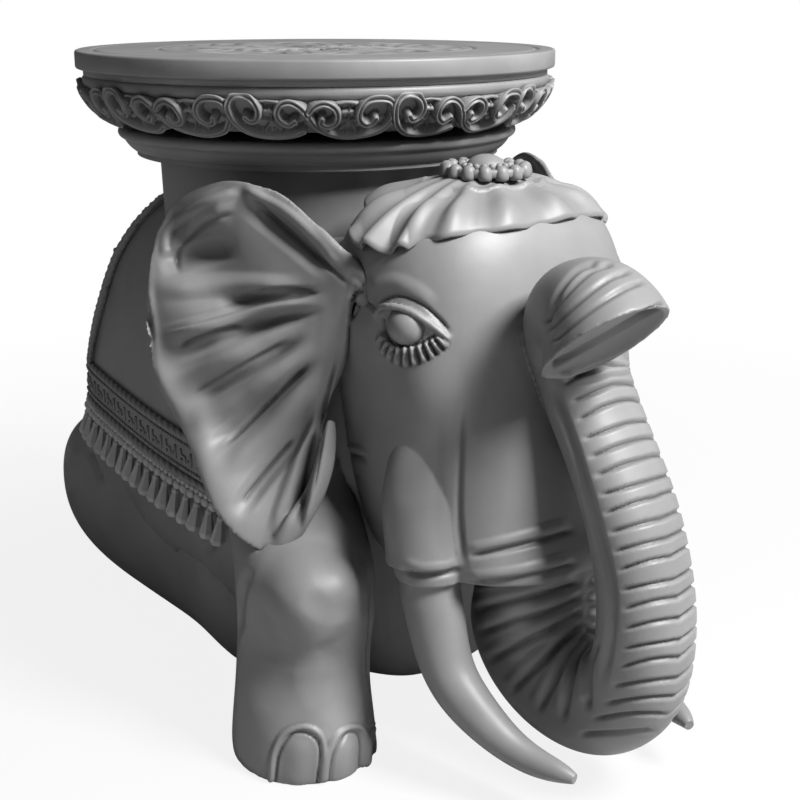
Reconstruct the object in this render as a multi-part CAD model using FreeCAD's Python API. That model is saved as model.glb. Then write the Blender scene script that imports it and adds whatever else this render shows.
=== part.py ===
import FreeCAD, Part
import math
import os

from FreeCAD import Vector

# Carved elephant stool. Millimetres, +Z up, the elephant faces -Y.
# Every form is first placed about the seat's turning axis, and the whole part is then moved
# so that its origin lies under the middle of its own box.

# Turned seat and drum
seat_height = 434.0
seat_radius = 165.0
seat_board_thickness = 16.0
rim_band_height = 12.0
rim_groove_depth = 5.0
top_ring_depth = 1.2
top_ring_width = 2.4
outer_ring_radius = 152.0
inner_ring_radius = 109.0
frieze_height = 35.0
frieze_top_inset = 6.0
frieze_bulge_inset = 0.6
frieze_foot_inset = 27.0
moulding_height = 19.0
bead_radius = 3.6
moulding_bead_inset = 29.6
moulding_waist_inset = 36.0
moulding_lip_inset = 38.5
drum_radius = 108.0
drum_flare = 3.0
drum_shown_height = 21.0
drum_sunk_depth = 96.0
seat_dowel_radius = 6.0
seat_dowel_circle_radius = 74.0
seat_dowel_length = 70.0
drum_peg_radius = 15.0
drum_peg_length = 130.0
dowel_count = 4

# Levels of the turned stack, from the seat down
board_low_z = seat_height - seat_board_thickness
frieze_low_z = board_low_z - frieze_height
drum_top_z = frieze_low_z - moulding_height
drum_low_z = drum_top_z - drum_sunk_depth
seat_dowel_low_z = board_low_z + seat_board_thickness / 2 - seat_dowel_length

# Torso, lofted from front to back
torso_front_y = -150.0
torso_rear_y = 232.0
torso_half_width = 118.0
torso_top_z = drum_top_z - drum_shown_height
torso_fullness = 3.1

# Head block
head_top_rise = 15.0
head_top_z = torso_top_z + head_top_rise
head_chin_z = 134.0
head_half_width = 95.0
head_back_y = -104.0
head_front_y = -276.0
head_fullness = 2.7
eye_radius = 12.0
eye_side = 83.0
eye_y = -208.0
eye_drop = 71.0
eye_z = head_top_z - eye_drop

# Tusks and the cheek sheaths that hold them
tusk_side = 76.0
tusk_tip_side = 50.0
tusk_root_y = -221.0
tusk_tip_y = -323.0
tusk_root_z = 134.0
tusk_tip_z = 33.0
tusk_root_radius = 18.5
sheath_radius = 22.5
sheath_height = 74.0
tusk_tenon_radius = 11.0
tusk_tenon_length = 26.0

# Trunk: down from the face, round a low bend, up in front and over into a flared tip
trunk_half_width = 30.0
trunk_root_half_width = 50.0
trunk_bend_y = -281.0
trunk_bend_z = 97.0
trunk_bend_reach = 41.0
trunk_rise_y = -327.0
trunk_top_y = -264.0
trunk_top_z = 264.0
trunk_curl_reach = 25.0
trunk_lean = 36.0
mouth_depth = 9.0
pin_radius = 7.0
pin_length = 76.0
head_pin_side = 34.0
head_pin_z = 190.0
tip_pin_radius = 5.0
tip_pin_length = 26.0

# Ears
ear_root_side = 94.0
ear_root_y = -156.0
ear_top_rise = 3.0
ear_top_z = head_top_z + ear_top_rise
ear_bottom_z = 139.0
ear_span = 126.0
ear_top_flare_angle = 22.0
ear_flare_angle = 42.0
ear_lobe_flare_angle = 78.0
ear_laid_back_z = 345.0
ear_lobe_high_z = 230.0
ear_lobe_low_z = 130.0
ear_thickness = 10.0
ear_fold_depth = 4.0
ear_dowel_radius = 2.5
ear_dowel_length = 34.0

# Legs
front_foot_radius = 45.0
front_foot_side = 122.0
front_foot_y = -150.0
front_leg_height = 205.0
hind_leg_side = 62.0
hind_leg_half_width = 45.0
hind_leg_height = 145.0
hind_leg_front_y = -52.0
hind_leg_rear_y = 238.0
leg_dowel_radius = 8.0
leg_dowel_length = 60.0

# Head cloth and its crown of beads
cloth_half_width = 88.0
cloth_half_length = 62.0
cloth_drop = 33.0
cloth_thickness = 8.0
cloth_pleats = 16
cloth_pleat_depth = 3.5
crown_disc_radius = 28.5
crown_clearance = 11.5
crown_rise = 7.0
crown_y = -(seat_radius - moulding_bead_inset + bead_radius + crown_clearance + crown_disc_radius)
crown_z = head_top_z + crown_rise
crown_disc_thickness = 3.0
crown_bead_radius = 4.8
crown_bead_circle_radius = 23.4
crown_bead_count = 15
crown_seed_radius = 2.3
crown_seed_circle_radius = 15.8
crown_seed_count = 18
crown_boss_radius = 12.6
crown_boss_height = 9.0

# Saddle blanket, its cords, band, beads and pendants
blanket_thickness = 4.0
blanket_front_y = -55.0
blanket_rear_y = 172.0
blanket_front_low_z = 140.0
blanket_rear_low_z = 160.0
cord_width = 6.0
cord_height = 3.5
band_height = 24.0
band_thickness = 1.6
rear_band_width = 11.0
hem_bead_radius = 3.8
hem_bead_count = 20
pendant_length = 24.0
pendant_radius = 5.2
pendant_count = 13
rest_gap = 0.3

# Tail
tail_root_z = 190.0
tail_tip_z = 62.0
tail_radius = 9.0

overrun = 2.0
section_points = 16


def place(shape, x=0, y=0, z=0):
    moved = shape.copy()
    moved.translate(Vector(x, y, z))
    return moved


def mirrored(shape):
    return shape.mirror(Vector(0, 0, 0), Vector(1, 0, 0))


def round_wire(points):
    curve = Part.BSplineCurve()
    curve.interpolate(Points=points, PeriodicFlag=True)
    return Part.Wire([curve.toShape()])


def open_curve(points):
    curve = Part.BSplineCurve()
    curve.interpolate(Points=points)
    return curve.toShape()


def sheet_wire(front, back):
    return Part.Wire([open_curve(front), Part.makeLine(front[-1], back[-1]),
                      open_curve(back[::-1]), Part.makeLine(back[0], front[0])])


def power_wave(value, exponent):
    return math.copysign(abs(value) ** exponent, value)


def oval_points(half_a, half_b, fullness, count=section_points):
    exponent = 2 / fullness
    points = []
    for index in range(count):
        angle = 2 * math.pi * index / count
        points.append((half_a * power_wave(math.cos(angle), exponent),
                       half_b * power_wave(math.sin(angle), exponent)))
    return points


def loft(wires):
    return Part.makeLoft(wires, True, False)


def oval_across(y, middle_x, middle_z, half_width, half_height, fullness):
    return round_wire([Vector(middle_x + a, y, middle_z + b)
                       for a, b in oval_points(half_width, half_height, fullness)])


def oval_level(z, middle_x, middle_y, half_width, half_length, fullness):
    return round_wire([Vector(middle_x + a, middle_y + b, z)
                       for a, b in oval_points(half_width, half_length, fullness)])


def oval_leaning(centre, outward, half_width, half_depth, fullness):
    return round_wire([centre + Vector(a, 0, 0) + outward * b
                       for a, b in oval_points(half_width, half_depth, fullness)])


def tube_along(centres, radii, count=12):
    wires = []
    last = len(centres) - 1
    side_hint = Vector(1, 0, 0)
    for index, centre in enumerate(centres):
        ahead = centres[min(index + 1, last)] - centres[max(index - 1, 0)]
        ahead.normalize()
        up = ahead.cross(side_hint)
        up.normalize()
        side = up.cross(ahead)
        radius = radii[index]
        wires.append(round_wire([centre + side * a + up * b
                                 for a, b in oval_points(radius, radius, 2, count)]))
    return loft(wires)


def turned(profile):
    edges = []
    for kind, *points in profile:
        corners = [Vector(r, 0, z) for r, z in points]
        if kind == "line":
            edges.append(Part.LineSegment(*corners).toShape())
        else:
            edges.append(Part.Arc(*corners).toShape())
    face = Part.Face(Part.Wire(edges))
    return face.revolve(Vector(0, 0, 0), Vector(0, 0, 1), 360)


def ring_of(shape, count, radius, start=0):
    solids = []
    for index in range(count):
        angle = start + 360 * index / count
        copy = place(shape, radius)
        copy.rotate(Vector(0, 0, 0), Vector(0, 0, 1), angle)
        solids.append(copy)
    return solids


def dowel_ring(radius, low_z, length):
    pin = Part.makeCylinder(radius, length)
    pins = ring_of(pin, dowel_count, seat_dowel_circle_radius, 45)
    return Part.makeCompound([place(item, z=low_z) for item in pins])


def make_seat_dowels():
    return dowel_ring(seat_dowel_radius, seat_dowel_low_z, seat_dowel_length)


def make_drum_peg():
    low_z = drum_top_z - drum_peg_length * 0.5
    return place(Part.makeCylinder(drum_peg_radius, drum_peg_length), z=low_z)


def make_seat_top():
    neck = seat_radius - rim_groove_depth
    band_low_z = seat_height - rim_band_height
    body = turned([
        ("line", (0, board_low_z), (neck, board_low_z)),
        ("line", (neck, board_low_z), (neck, band_low_z)),
        ("line", (neck, band_low_z), (seat_radius, band_low_z)),
        ("line", (seat_radius, band_low_z), (seat_radius, seat_height)),
        ("line", (seat_radius, seat_height), (0, seat_height)),
        ("line", (0, seat_height), (0, board_low_z))])
    for radius in (outer_ring_radius, inner_ring_radius):
        outer = Part.makeCylinder(radius + top_ring_width / 2, top_ring_depth + overrun)
        inner = Part.makeCylinder(radius - top_ring_width / 2, top_ring_depth + overrun)
        body = body.cut(place(outer.cut(inner), z=seat_height - top_ring_depth))
    return body.cut(make_seat_dowels())


def make_frieze():
    top = seat_radius - frieze_top_inset
    bulge = seat_radius - frieze_bulge_inset
    foot = seat_radius - frieze_foot_inset
    bulge_z = board_low_z - frieze_height * 0.22
    belly_z = board_low_z - frieze_height * 0.62
    belly = foot + (bulge - foot) * 0.72
    body = turned([
        ("line", (0, frieze_low_z), (foot, frieze_low_z)),
        ("arc", (foot, frieze_low_z), (belly, belly_z), (bulge, bulge_z)),
        ("line", (bulge, bulge_z), (top, board_low_z)),
        ("line", (top, board_low_z), (0, board_low_z)),
        ("line", (0, board_low_z), (0, frieze_low_z))])
    return body.cut(make_seat_dowels())


def make_lower_moulding():
    bead = seat_radius - moulding_bead_inset
    waist = seat_radius - moulding_waist_inset
    lip = seat_radius - moulding_lip_inset
    bead_low_z = frieze_low_z - 2 * bead_radius
    hollow_z = bead_low_z - moulding_height * 0.24
    cove_z = drum_top_z + moulding_height * 0.2
    body = turned([
        ("line", (0, drum_top_z), (lip, drum_top_z)),
        ("line", (lip, drum_top_z), (lip, cove_z)),
        ("line", (lip, cove_z), (waist, cove_z)),
        ("arc", (waist, cove_z), (waist + bead_radius, hollow_z), (bead, bead_low_z)),
        ("arc", (bead, bead_low_z), (bead + bead_radius, bead_low_z + bead_radius),
         (bead, frieze_low_z)),
        ("line", (bead, frieze_low_z), (0, frieze_low_z)),
        ("line", (0, frieze_low_z), (0, drum_top_z))])
    return body.cut(make_seat_dowels()).cut(make_drum_peg())


def make_drum(torso):
    body = place(Part.makeCone(drum_radius, drum_radius + drum_flare, drum_sunk_depth), z=drum_low_z)
    return body.cut(torso).cut(make_seat_dowels()).cut(make_drum_peg())


# Torso stations: place along the length, half width, underside and top,
# as shares of the length, the half width and the top height
torso_station_shares = [
    (0.0, 0.50, 0.085, 0.66),
    (0.05, 0.74, 0.04, 0.86),
    (0.16, 0.92, 0.028, 0.96),
    (0.30, 0.985, 0.022, 0.995),
    (0.46, 1.0, 0.022, 1.0),
    (0.60, 0.975, 0.022, 0.993),
    (0.70, 0.945, 0.024, 0.96),
    (0.79, 0.905, 0.028, 0.875),
    (0.875, 0.79, 0.04, 0.725),
    (0.95, 0.56, 0.085, 0.55),
    (0.99, 0.26, 0.17, 0.40)]


def torso_form(growth=0.0):
    start_y = torso_front_y - growth
    length = torso_rear_y + growth - start_y
    wires = []
    for along, width, low, high in torso_station_shares:
        low_z = torso_top_z * low - growth
        high_z = torso_top_z * high + growth
        wires.append(oval_across(start_y + length * along, 0, (low_z + high_z) / 2,
                                 torso_half_width * width + growth, (high_z - low_z) / 2,
                                 torso_fullness))
    return loft(wires)


# Head stations: height, half width, back and front, each as a share of its own size
head_station_shares = [
    (0.0, 0.80, 1.20, 1.0),
    (0.11, 0.86, 1.10, 0.995),
    (0.27, 0.90, 1.02, 0.97),
    (0.45, 0.94, 1.0, 0.935),
    (0.61, 0.97, 1.0, 0.905),
    (0.72, 0.97, 1.0, 0.892),
    (0.82, 0.92, 1.02, 0.872),
    (0.90, 0.82, 1.08, 0.845),
    (0.96, 0.64, 1.20, 0.80),
    (1.0, 0.40, 1.42, 0.75)]


def head_form():
    wires = []
    for up, width, back, front in head_station_shares:
        back_y = head_back_y * back
        front_y = head_front_y * front
        wires.append(oval_level(head_chin_z + (head_top_z - head_chin_z) * up, 0,
                                (back_y + front_y) / 2, head_half_width * width,
                                (back_y - front_y) / 2, head_fullness))
    return loft(wires)


def make_sheath():
    base = Vector(-tusk_side, tusk_root_y, tusk_root_z)
    top = base + Vector(tusk_side * 0.12, sheath_height * 0.22, sheath_height)
    middle = (base + top) / 2
    return tube_along([base, base + Vector(0, 0, sheath_height * 0.12), middle, top],
                      [sheath_radius * 0.97, sheath_radius, sheath_radius * 1.0, sheath_radius * 0.6])


def tusk_tenon(extra=0.0):
    return place(Part.makeCylinder(tusk_tenon_radius, tusk_tenon_length + extra),
                 -tusk_side, tusk_root_y, tusk_root_z - extra)


# Tusk stations: share of the way from root to tip inward, forward and down, and of the root radius
tusk_station_shares = [
    (0.0, 0.0, 0.0, 1.0),
    (0.0, 0.0, 0.10, 1.0),
    (0.0, 0.03, 0.20, 0.99),
    (0.02, 0.08, 0.37, 0.95),
    (0.10, 0.23, 0.66, 0.83),
    (0.35, 0.45, 0.85, 0.68),
    (0.60, 0.65, 0.955, 0.53),
    (0.80, 0.845, 0.985, 0.40),
    (1.0, 1.0, 1.0, 0.17)]


def make_tusk():
    centres = []
    radii = []
    for inward, forward, down, thick in tusk_station_shares:
        centres.append(Vector(-tusk_side + (tusk_side - tusk_tip_side) * inward,
                              tusk_root_y + (tusk_tip_y - tusk_root_y) * forward,
                              tusk_root_z + (tusk_tip_z - tusk_root_z) * down))
        radii.append(tusk_root_radius * thick)
    return tube_along(centres, radii).fuse(tusk_tenon())


def eye_ball(radius=eye_radius):
    return place(Part.makeSphere(radius), -eye_side, eye_y, eye_z)


# Trunk stations round the low bend: angle, reach and half depth as shares of the reach, half width
# as a share of the root's half width
bend_station_shares = [
    (180.0, 1.03, 0.97, 0.90),
    (207.0, 1.04, 0.97, 0.84),
    (235.0, 1.02, 0.94, 0.76),
    (268.0, 0.99, 0.91, 0.68),
    (300.0, 1.0, 0.85, 0.63),
    (332.0, 1.04, 0.75, 0.60)]

# Trunk stations of the rise: height share between bend and top, place share between
# the foremost line and the top, half depth share of the half width
rise_station_shares = [
    (0.09, 0.0, 0.90),
    (0.22, 0.02, 0.87),
    (0.36, 0.10, 0.85),
    (0.54, 0.28, 0.84),
    (0.70, 0.52, 0.83),
    (0.86, 0.79, 0.82),
    (1.0, 1.0, 0.80)]

# Curl stations: angle from straight back to the mouth, reach, half width and half depth shares
curl_station_shares = [
    (0.0, 0.98, 1.0, 0.96),
    (32.0, 1.10, 1.0, 1.05),
    (62.0, 1.26, 1.03, 1.19),
    (90.0, 1.40, 1.08, 1.32),
    (116.0, 1.52, 1.16, 1.44),
    (139.0, 1.62, 1.22, 1.54)]


# Trunk root: its place behind the bend and its half depth, as shares of the bend's reach
trunk_root_shares = (1.12, 1.0)


def trunk_wires():
    behind, root_depth = trunk_root_shares
    root = Vector(0, trunk_bend_y + trunk_bend_reach * behind, head_chin_z)
    wires = [oval_leaning(root, Vector(0, 1, 0), trunk_root_half_width,
                          trunk_bend_reach * root_depth, 2.2)]
    for angle, reach, depth, width in bend_station_shares:
        turn = math.radians(angle)
        outward = Vector(0, -math.cos(turn), math.sin(turn))
        centre = Vector(0, trunk_bend_y, trunk_bend_z) + outward * (trunk_bend_reach * reach)
        wires.append(oval_leaning(centre, outward, trunk_root_half_width * width,
                                  trunk_bend_reach * depth, 2.2))
    for up, back, depth in rise_station_shares:
        y = trunk_rise_y + (trunk_top_y - trunk_rise_y) * back
        z = trunk_bend_z + (trunk_top_z - trunk_bend_z) * up
        wires.append(oval_leaning(Vector(0, y, z), Vector(0, -1, 0), trunk_half_width,
                                  trunk_half_width * depth, 2.2))
    return wires


def curl_frame(station):
    angle, reach, width, depth = station
    turn = math.radians(angle)
    outward = Vector(0, math.cos(turn), math.sin(turn))
    aside = -trunk_lean * angle / curl_station_shares[-1][0]
    pivot = Vector(aside, trunk_top_y - trunk_curl_reach * curl_station_shares[0][1], trunk_top_z)
    return (pivot + outward * (trunk_curl_reach * reach), outward, trunk_half_width * width,
            trunk_curl_reach * depth)


def curl_wires():
    wires = []
    for station in curl_station_shares:
        centre, outward, half_width, half_depth = curl_frame(station)
        wires.append(oval_leaning(centre, outward, half_width, half_depth, 2.2))
    return wires


def make_trunk():
    return loft(trunk_wires())


def make_trunk_tip():
    centre, outward, half_width, half_depth = curl_frame(curl_station_shares[-1])
    inward = Vector(0, outward.z, -outward.y)
    hollow = []
    for deep, narrow in ((-0.3, 0.95), (0.0, 0.92), (0.6, 0.8), (1.0, 0.45)):
        hollow.append(oval_leaning(centre + inward * (mouth_depth * deep), outward,
                                   half_width * narrow, half_depth * narrow, 2.2))
    return loft(curl_wires()).cut(loft(hollow))


# Ear outline across the span from root to rim: lowest and highest points
ear_outline_shares = [
    (-0.16, 0.65, 0.77),
    (-0.04, 0.58, 0.835),
    (0.06, 0.40, 0.88),
    (0.13, 0.14, 0.905),
    (0.21, 0.01, 0.94),
    (0.31, 0.0, 0.975),
    (0.42, 0.04, 0.99),
    (0.53, 0.10, 1.0),
    (0.64, 0.18, 0.995),
    (0.75, 0.28, 0.975),
    (0.86, 0.365, 0.945),
    (0.95, 0.46, 0.905),
    (1.02, 0.60, 0.84)]
ear_side_points = 9
ear_fold_count = 3


def eased(value, start, end):
    share = min(1.0, max(0.0, (value - start) / (end - start)))
    return share * share * (3 - 2 * share)


ear_turn = math.radians(ear_flare_angle)
ear_along = Vector(-math.sin(ear_turn), math.cos(ear_turn), 0)
ear_facing = Vector(-math.cos(ear_turn), -math.sin(ear_turn), 0)
ear_root = Vector(-ear_root_side, ear_root_y, 0)


def ear_lean(z):
    closing = eased(z, ear_lobe_high_z, ear_laid_back_z)
    turning = eased(z, ear_lobe_high_z, ear_lobe_low_z)
    angle = ((ear_lobe_flare_angle - ear_flare_angle) * turning
             - (ear_flare_angle - ear_top_flare_angle) * closing)
    return math.tan(math.radians(angle))


def ear_fold(span, height):
    swell = eased(span, 0.1, 0.7) * eased(height, 0.0, 0.2)
    return ear_fold_depth * swell * math.cos(2 * math.pi * ear_fold_count * (height - 0.4 * span))


def make_ear():
    wires = []
    for span, low, high in ear_outline_shares:
        front = []
        back = []
        for index in range(ear_side_points):
            along_strip = index / (ear_side_points - 1)
            height = low + (high - low) * along_strip
            rim = 1 - abs(2 * along_strip - 1) ** 6
            thick = ear_thickness * (0.3 + 0.7 * rim) / 2
            z = ear_bottom_z + (ear_top_z - ear_bottom_z) * height
            reach = ear_span * span
            base = ear_root + ear_along * reach + ear_facing * (reach * ear_lean(z)) + Vector(0, 0, z)
            shift = ear_fold(span, height) * rim
            front.append(base + ear_facing * (shift + thick))
            back.append(base + ear_facing * (shift * 0.6 - thick))
        wires.append(sheet_wire(front, back))
    return loft(wires)


def ear_dowels():
    pins = []
    for height in (0.645, 0.755):
        z = ear_bottom_z + (ear_top_z - ear_bottom_z) * height
        start = ear_root + Vector(0, 0, z) - ear_along * (ear_dowel_length * 0.75)
        pins.append(Part.makeCylinder(ear_dowel_radius, ear_dowel_length, start, ear_along))
    return Part.makeCompound(pins)


# Front leg stations: height, sideways and lengthwise place and half sizes
front_leg_shares = [
    (0.0, 1.0, 1.0, 1.0, 0.98),
    (0.10, 1.0, 0.99, 1.0, 0.97),
    (0.25, 0.99, 0.98, 0.93, 0.93),
    (0.42, 0.98, 0.99, 0.91, 0.98),
    (0.58, 0.95, 0.96, 0.92, 1.04),
    (0.72, 0.89, 0.82, 0.90, 1.02),
    (0.86, 0.79, 0.64, 0.84, 0.94),
    (1.0, 0.70, 0.50, 0.76, 0.84)]


def make_front_leg():
    wires = []
    for up, side, along, width, length in front_leg_shares:
        wires.append(oval_level(front_leg_height * up, -front_foot_side * side, front_foot_y * along,
                                front_foot_radius * width, front_foot_radius * length, 2.2))
    return loft(wires)


# Hind leg stations, the leg folded under the body: place along, side, half width, underside and top
hind_leg_shares = [
    (0.0, 1.2, 0.26, 0.10, 0.34),
    (0.05, 1.2, 0.60, -0.02, 0.54),
    (0.18, 1.12, 0.90, -0.04, 0.80),
    (0.36, 1.0, 1.0, -0.04, 0.93),
    (0.56, 1.0, 1.06, -0.03, 1.0),
    (0.73, 1.10, 1.06, 0.02, 1.03),
    (0.87, 1.24, 0.92, 0.14, 0.97),
    (0.955, 1.30, 0.64, 0.28, 0.86),
    (1.0, 1.30, 0.26, 0.44, 0.70)]


def make_hind_leg():
    length = hind_leg_rear_y - hind_leg_front_y
    wires = []
    for along, side, width, low, high in hind_leg_shares:
        wires.append(oval_across(hind_leg_front_y + length * along, -hind_leg_side * side,
                                 hind_leg_height * (low + high) / 2, hind_leg_half_width * width,
                                 hind_leg_height * (high - low) / 2, 2.2))
    above = Part.makeBox(6 * hind_leg_side, 2 * length, 2 * hind_leg_height)
    return loft(wires).common(place(above, -4 * hind_leg_side, hind_leg_front_y - length / 2))


def leg_dowel(side, y, z):
    return place(Part.makeCylinder(leg_dowel_radius, leg_dowel_length), -side, y, z)


def front_leg_dowel():
    _, side, along, _, _ = front_leg_shares[-1]
    return leg_dowel(front_foot_side * side, front_foot_y * along,
                     front_leg_height - leg_dowel_length / 2)


def hind_leg_dowel():
    return leg_dowel(hind_leg_side, hind_leg_front_y + hind_leg_height,
                     hind_leg_height - leg_dowel_length * 0.6)


def head_pins():
    start_y = torso_front_y - pin_length / 2
    pins = [Part.makeCylinder(pin_radius, pin_length, Vector(side, start_y, head_pin_z), Vector(0, 1, 0))
            for side in (-head_pin_side, head_pin_side)]
    return Part.makeCompound(pins)


def trunk_pin():
    y = trunk_bend_y + trunk_bend_reach * trunk_root_shares[0]
    return place(Part.makeCylinder(pin_radius, pin_length), 0, y, head_chin_z - pin_length / 2)


def tip_pin():
    pin = Part.makeCylinder(tip_pin_radius, tip_pin_length)
    return place(pin, 0, trunk_top_y, trunk_top_z - tip_pin_length / 2)


# Beads: height of the centre over the seat, and the levels and girths of the faceted ones
bead_seat_share = 0.8
bead_facet_shares = [(-0.8, 0.6), (0.0, 1.0), (0.9, 0.4)]
bead_facet_count = 6

# Head cloth stations: drop from the crown and the two half sizes
cloth_station_shares = [
    (0.0, 0.33, 0.46),
    (0.20, 0.56, 0.68),
    (0.55, 0.82, 0.88),
    (1.0, 1.0, 1.0)]


def cloth_form(sink=0.0):
    wires = []
    for drop, width, length in cloth_station_shares:
        depth = cloth_pleat_depth * drop
        points = []
        for index in range(cloth_pleats * 4):
            angle = 2 * math.pi * index / (cloth_pleats * 4)
            swell = depth * math.cos(cloth_pleats * angle)
            points.append(Vector((cloth_half_width * width + swell) * math.cos(angle),
                                 crown_y + (cloth_half_length * length + swell) * math.sin(angle),
                                 crown_z - cloth_drop * drop - sink))
        wires.append(round_wire(points))
    return loft(wires)


def make_head_cloth():
    return cloth_form().cut(cloth_form(cloth_thickness))


def make_crown_disc():
    return place(Part.makeCylinder(crown_disc_radius, crown_disc_thickness), y=crown_y, z=crown_z)


def make_crown_boss():
    dome = Part.makeSphere(crown_boss_radius)
    flat = crown_boss_height / crown_boss_radius
    squash = FreeCAD.Matrix()
    squash.scale(1, 1, flat)
    dome = dome.transformGeometry(squash)
    keep = Part.makeBox(4 * crown_boss_radius, 4 * crown_boss_radius, 2 * crown_boss_radius)
    dome = dome.common(place(keep, -2 * crown_boss_radius, -2 * crown_boss_radius))
    return place(dome, y=crown_y, z=crown_z + crown_disc_thickness)


def crown_circle(bead, radius, count, circle):
    level = crown_z + crown_disc_thickness + radius * bead_seat_share
    beads = ring_of(bead, count, circle)
    return Part.makeCompound([place(item, y=crown_y, z=level) for item in beads])


def round_bead(radius):
    low = -math.degrees(math.asin(bead_seat_share))
    return Part.makeSphere(radius, Vector(0, 0, 0), Vector(0, 0, 1), low, 90, 360)


def faceted_bead(radius):
    wires = []
    for level, girth in bead_facet_shares:
        corners = []
        for index in range(bead_facet_count + 1):
            angle = 2 * math.pi * index / bead_facet_count
            corners.append(Vector(radius * girth * math.cos(angle), radius * girth * math.sin(angle),
                                  radius * level))
        wires.append(Part.makePolygon(corners))
    return Part.makeLoft(wires, True, True)


def side_prism(points):
    corners = [Vector(-2 * torso_half_width, y, z) for y, z in points]
    face = Part.Face(Part.makePolygon(corners + corners[:1]))
    return face.extrude(Vector(4 * torso_half_width, 0, 0))


# Rear edge of the blanket from the hem up to the drum: how far forward and how high
blanket_rear_shares = [
    (0.0, 0.0),
    (0.05, 0.22),
    (0.16, 0.47),
    (0.24, 0.69),
    (0.32, 0.83),
    (0.46, 1.04)]


def blanket_outline(inset=0.0, rise=0.0, lift=0.0):
    span = blanket_rear_y - blanket_front_y
    tall = torso_top_z - blanket_rear_low_z
    points = [(blanket_front_y + inset, blanket_front_low_z + rise)]
    points.append((blanket_rear_y - inset, blanket_rear_low_z + rise))
    for forward, high in blanket_rear_shares[1:]:
        points.append((blanket_rear_y - inset - span * forward, blanket_rear_low_z + tall * high + lift))
    points.append((blanket_front_y + inset, torso_top_z + overrun * 8))
    return points


def blanket_low_z(y):
    slope = (blanket_rear_low_z - blanket_front_low_z) / (blanket_rear_y - blanket_front_y)
    return blanket_front_low_z + slope * (y - blanket_front_y)


def hem_strip(low, high):
    return side_prism([(blanket_front_y, blanket_low_z(blanket_front_y) + low),
                       (blanket_rear_y, blanket_low_z(blanket_rear_y) + low),
                       (blanket_rear_y, blanket_low_z(blanket_rear_y) + high),
                       (blanket_front_y, blanket_low_z(blanket_front_y) + high)])


def right_half():
    half = Part.makeBox(3 * torso_half_width, 4 * torso_rear_y, 2 * seat_height)
    return place(half, -3 * torso_half_width - overrun, -2 * torso_rear_y)


def surface_x(solid, y, z):
    line = Part.makeLine(Vector(-3 * torso_half_width, y, z), Vector(0, y, z))
    return solid.common(line).BoundBox.XMin


def hem_stations(count):
    margin = rear_band_width * 0.6
    start = blanket_front_y + margin
    span = blanket_rear_y - margin - start
    return [start + span * index / (count - 1) for index in range(count)]


def make_hem_beads(torso):
    beads = []
    for y in hem_stations(hem_bead_count):
        z = blanket_low_z(y) - hem_bead_radius - rest_gap
        bead = faceted_bead(hem_bead_radius)
        bead.rotate(Vector(0, 0, 0), Vector(0, 1, 0), -90)
        beads.append(place(bead, surface_x(torso, y, z) - hem_bead_radius * 0.5, y, z))
    return Part.makeCompound(beads).cut(torso)


def pendant_form():
    wires = []
    for drop, girth in pendant_shares:
        corners = []
        for index in range(bead_facet_count + 1):
            angle = 2 * math.pi * index / bead_facet_count
            corners.append(Vector(pendant_radius * girth * math.cos(angle),
                                  pendant_radius * girth * math.sin(angle), -pendant_length * drop))
        wires.append(Part.makePolygon(corners))
    return Part.makeLoft(wires, True, True)


# Pendant stations: drop and girth
pendant_shares = [(0.0, 0.30), (0.30, 0.62), (0.80, 1.0), (1.0, 0.72)]


def make_pendants(torso):
    pendants = []
    for y in hem_stations(pendant_count):
        top_z = blanket_low_z(y) - 2 * (hem_bead_radius + rest_gap)
        low_x = min(surface_x(torso, y, top_z), surface_x(torso, y, top_z - pendant_length))
        pendants.append(place(pendant_form(), low_x - pendant_radius * 0.25, y, top_z))
    return Part.makeCompound(pendants).cut(torso)


# Tail stations: share of the drop and share of the radius
tail_station_shares = [
    (0.0, 1.0),
    (0.25, 0.86),
    (0.5, 0.72),
    (0.72, 0.66),
    (0.86, 1.0),
    (1.0, 0.45)]


def make_tail(torso):
    centres = []
    radii = []
    for down, thick in tail_station_shares:
        z = tail_root_z + (tail_tip_z - tail_root_z) * down
        line = Part.makeLine(Vector(0, 0, z), Vector(0, 2 * torso_rear_y, z))
        y = torso.common(line).BoundBox.YMax
        centres.append(Vector(0, y + tail_radius * thick * 0.35, z))
        radii.append(tail_radius * thick)
    return tube_along(centres, radii).cut(torso)


def main_solids(shape):
    largest = max(item.Volume for item in shape.Solids)
    return Part.makeCompound([item for item in shape.Solids if item.Volume > largest / 4])


def make_saddle(torso, drum):
    right = right_half()
    plain = torso_form(blanket_thickness)
    band_outer = torso_form(blanket_thickness + band_thickness)
    cord_outer = torso_form(blanket_thickness + cord_height)
    flap_region = side_prism(blanket_outline()).common(right)
    edge_region = side_prism(blanket_outline(rear_band_width, 0)).common(right)
    low_cord = hem_strip(0, cord_width).common(right)
    band = hem_strip(cord_width, cord_width + band_height).common(right)
    high_cord = hem_strip(cord_width + band_height, 2 * cord_width + band_height).common(right)
    hem = hem_strip(0, 2 * cord_width + band_height).common(right)
    pieces = {
        "saddle_flap": plain.common(flap_region).cut(torso),
        "hem_cords": cord_outer.common(Part.makeCompound([low_cord, high_cord])).cut(plain),
        "hem_band": band_outer.common(band).cut(plain),
        "rear_band": band_outer.common(flap_region.cut(edge_region).cut(hem)).cut(plain)}
    return {name: main_solids(piece.cut(drum)) for name, piece in pieces.items()}


def in_pairs(parts, name, shape):
    parts[name + "_right"] = shape
    parts[name + "_left"] = mirrored(shape)


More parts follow.
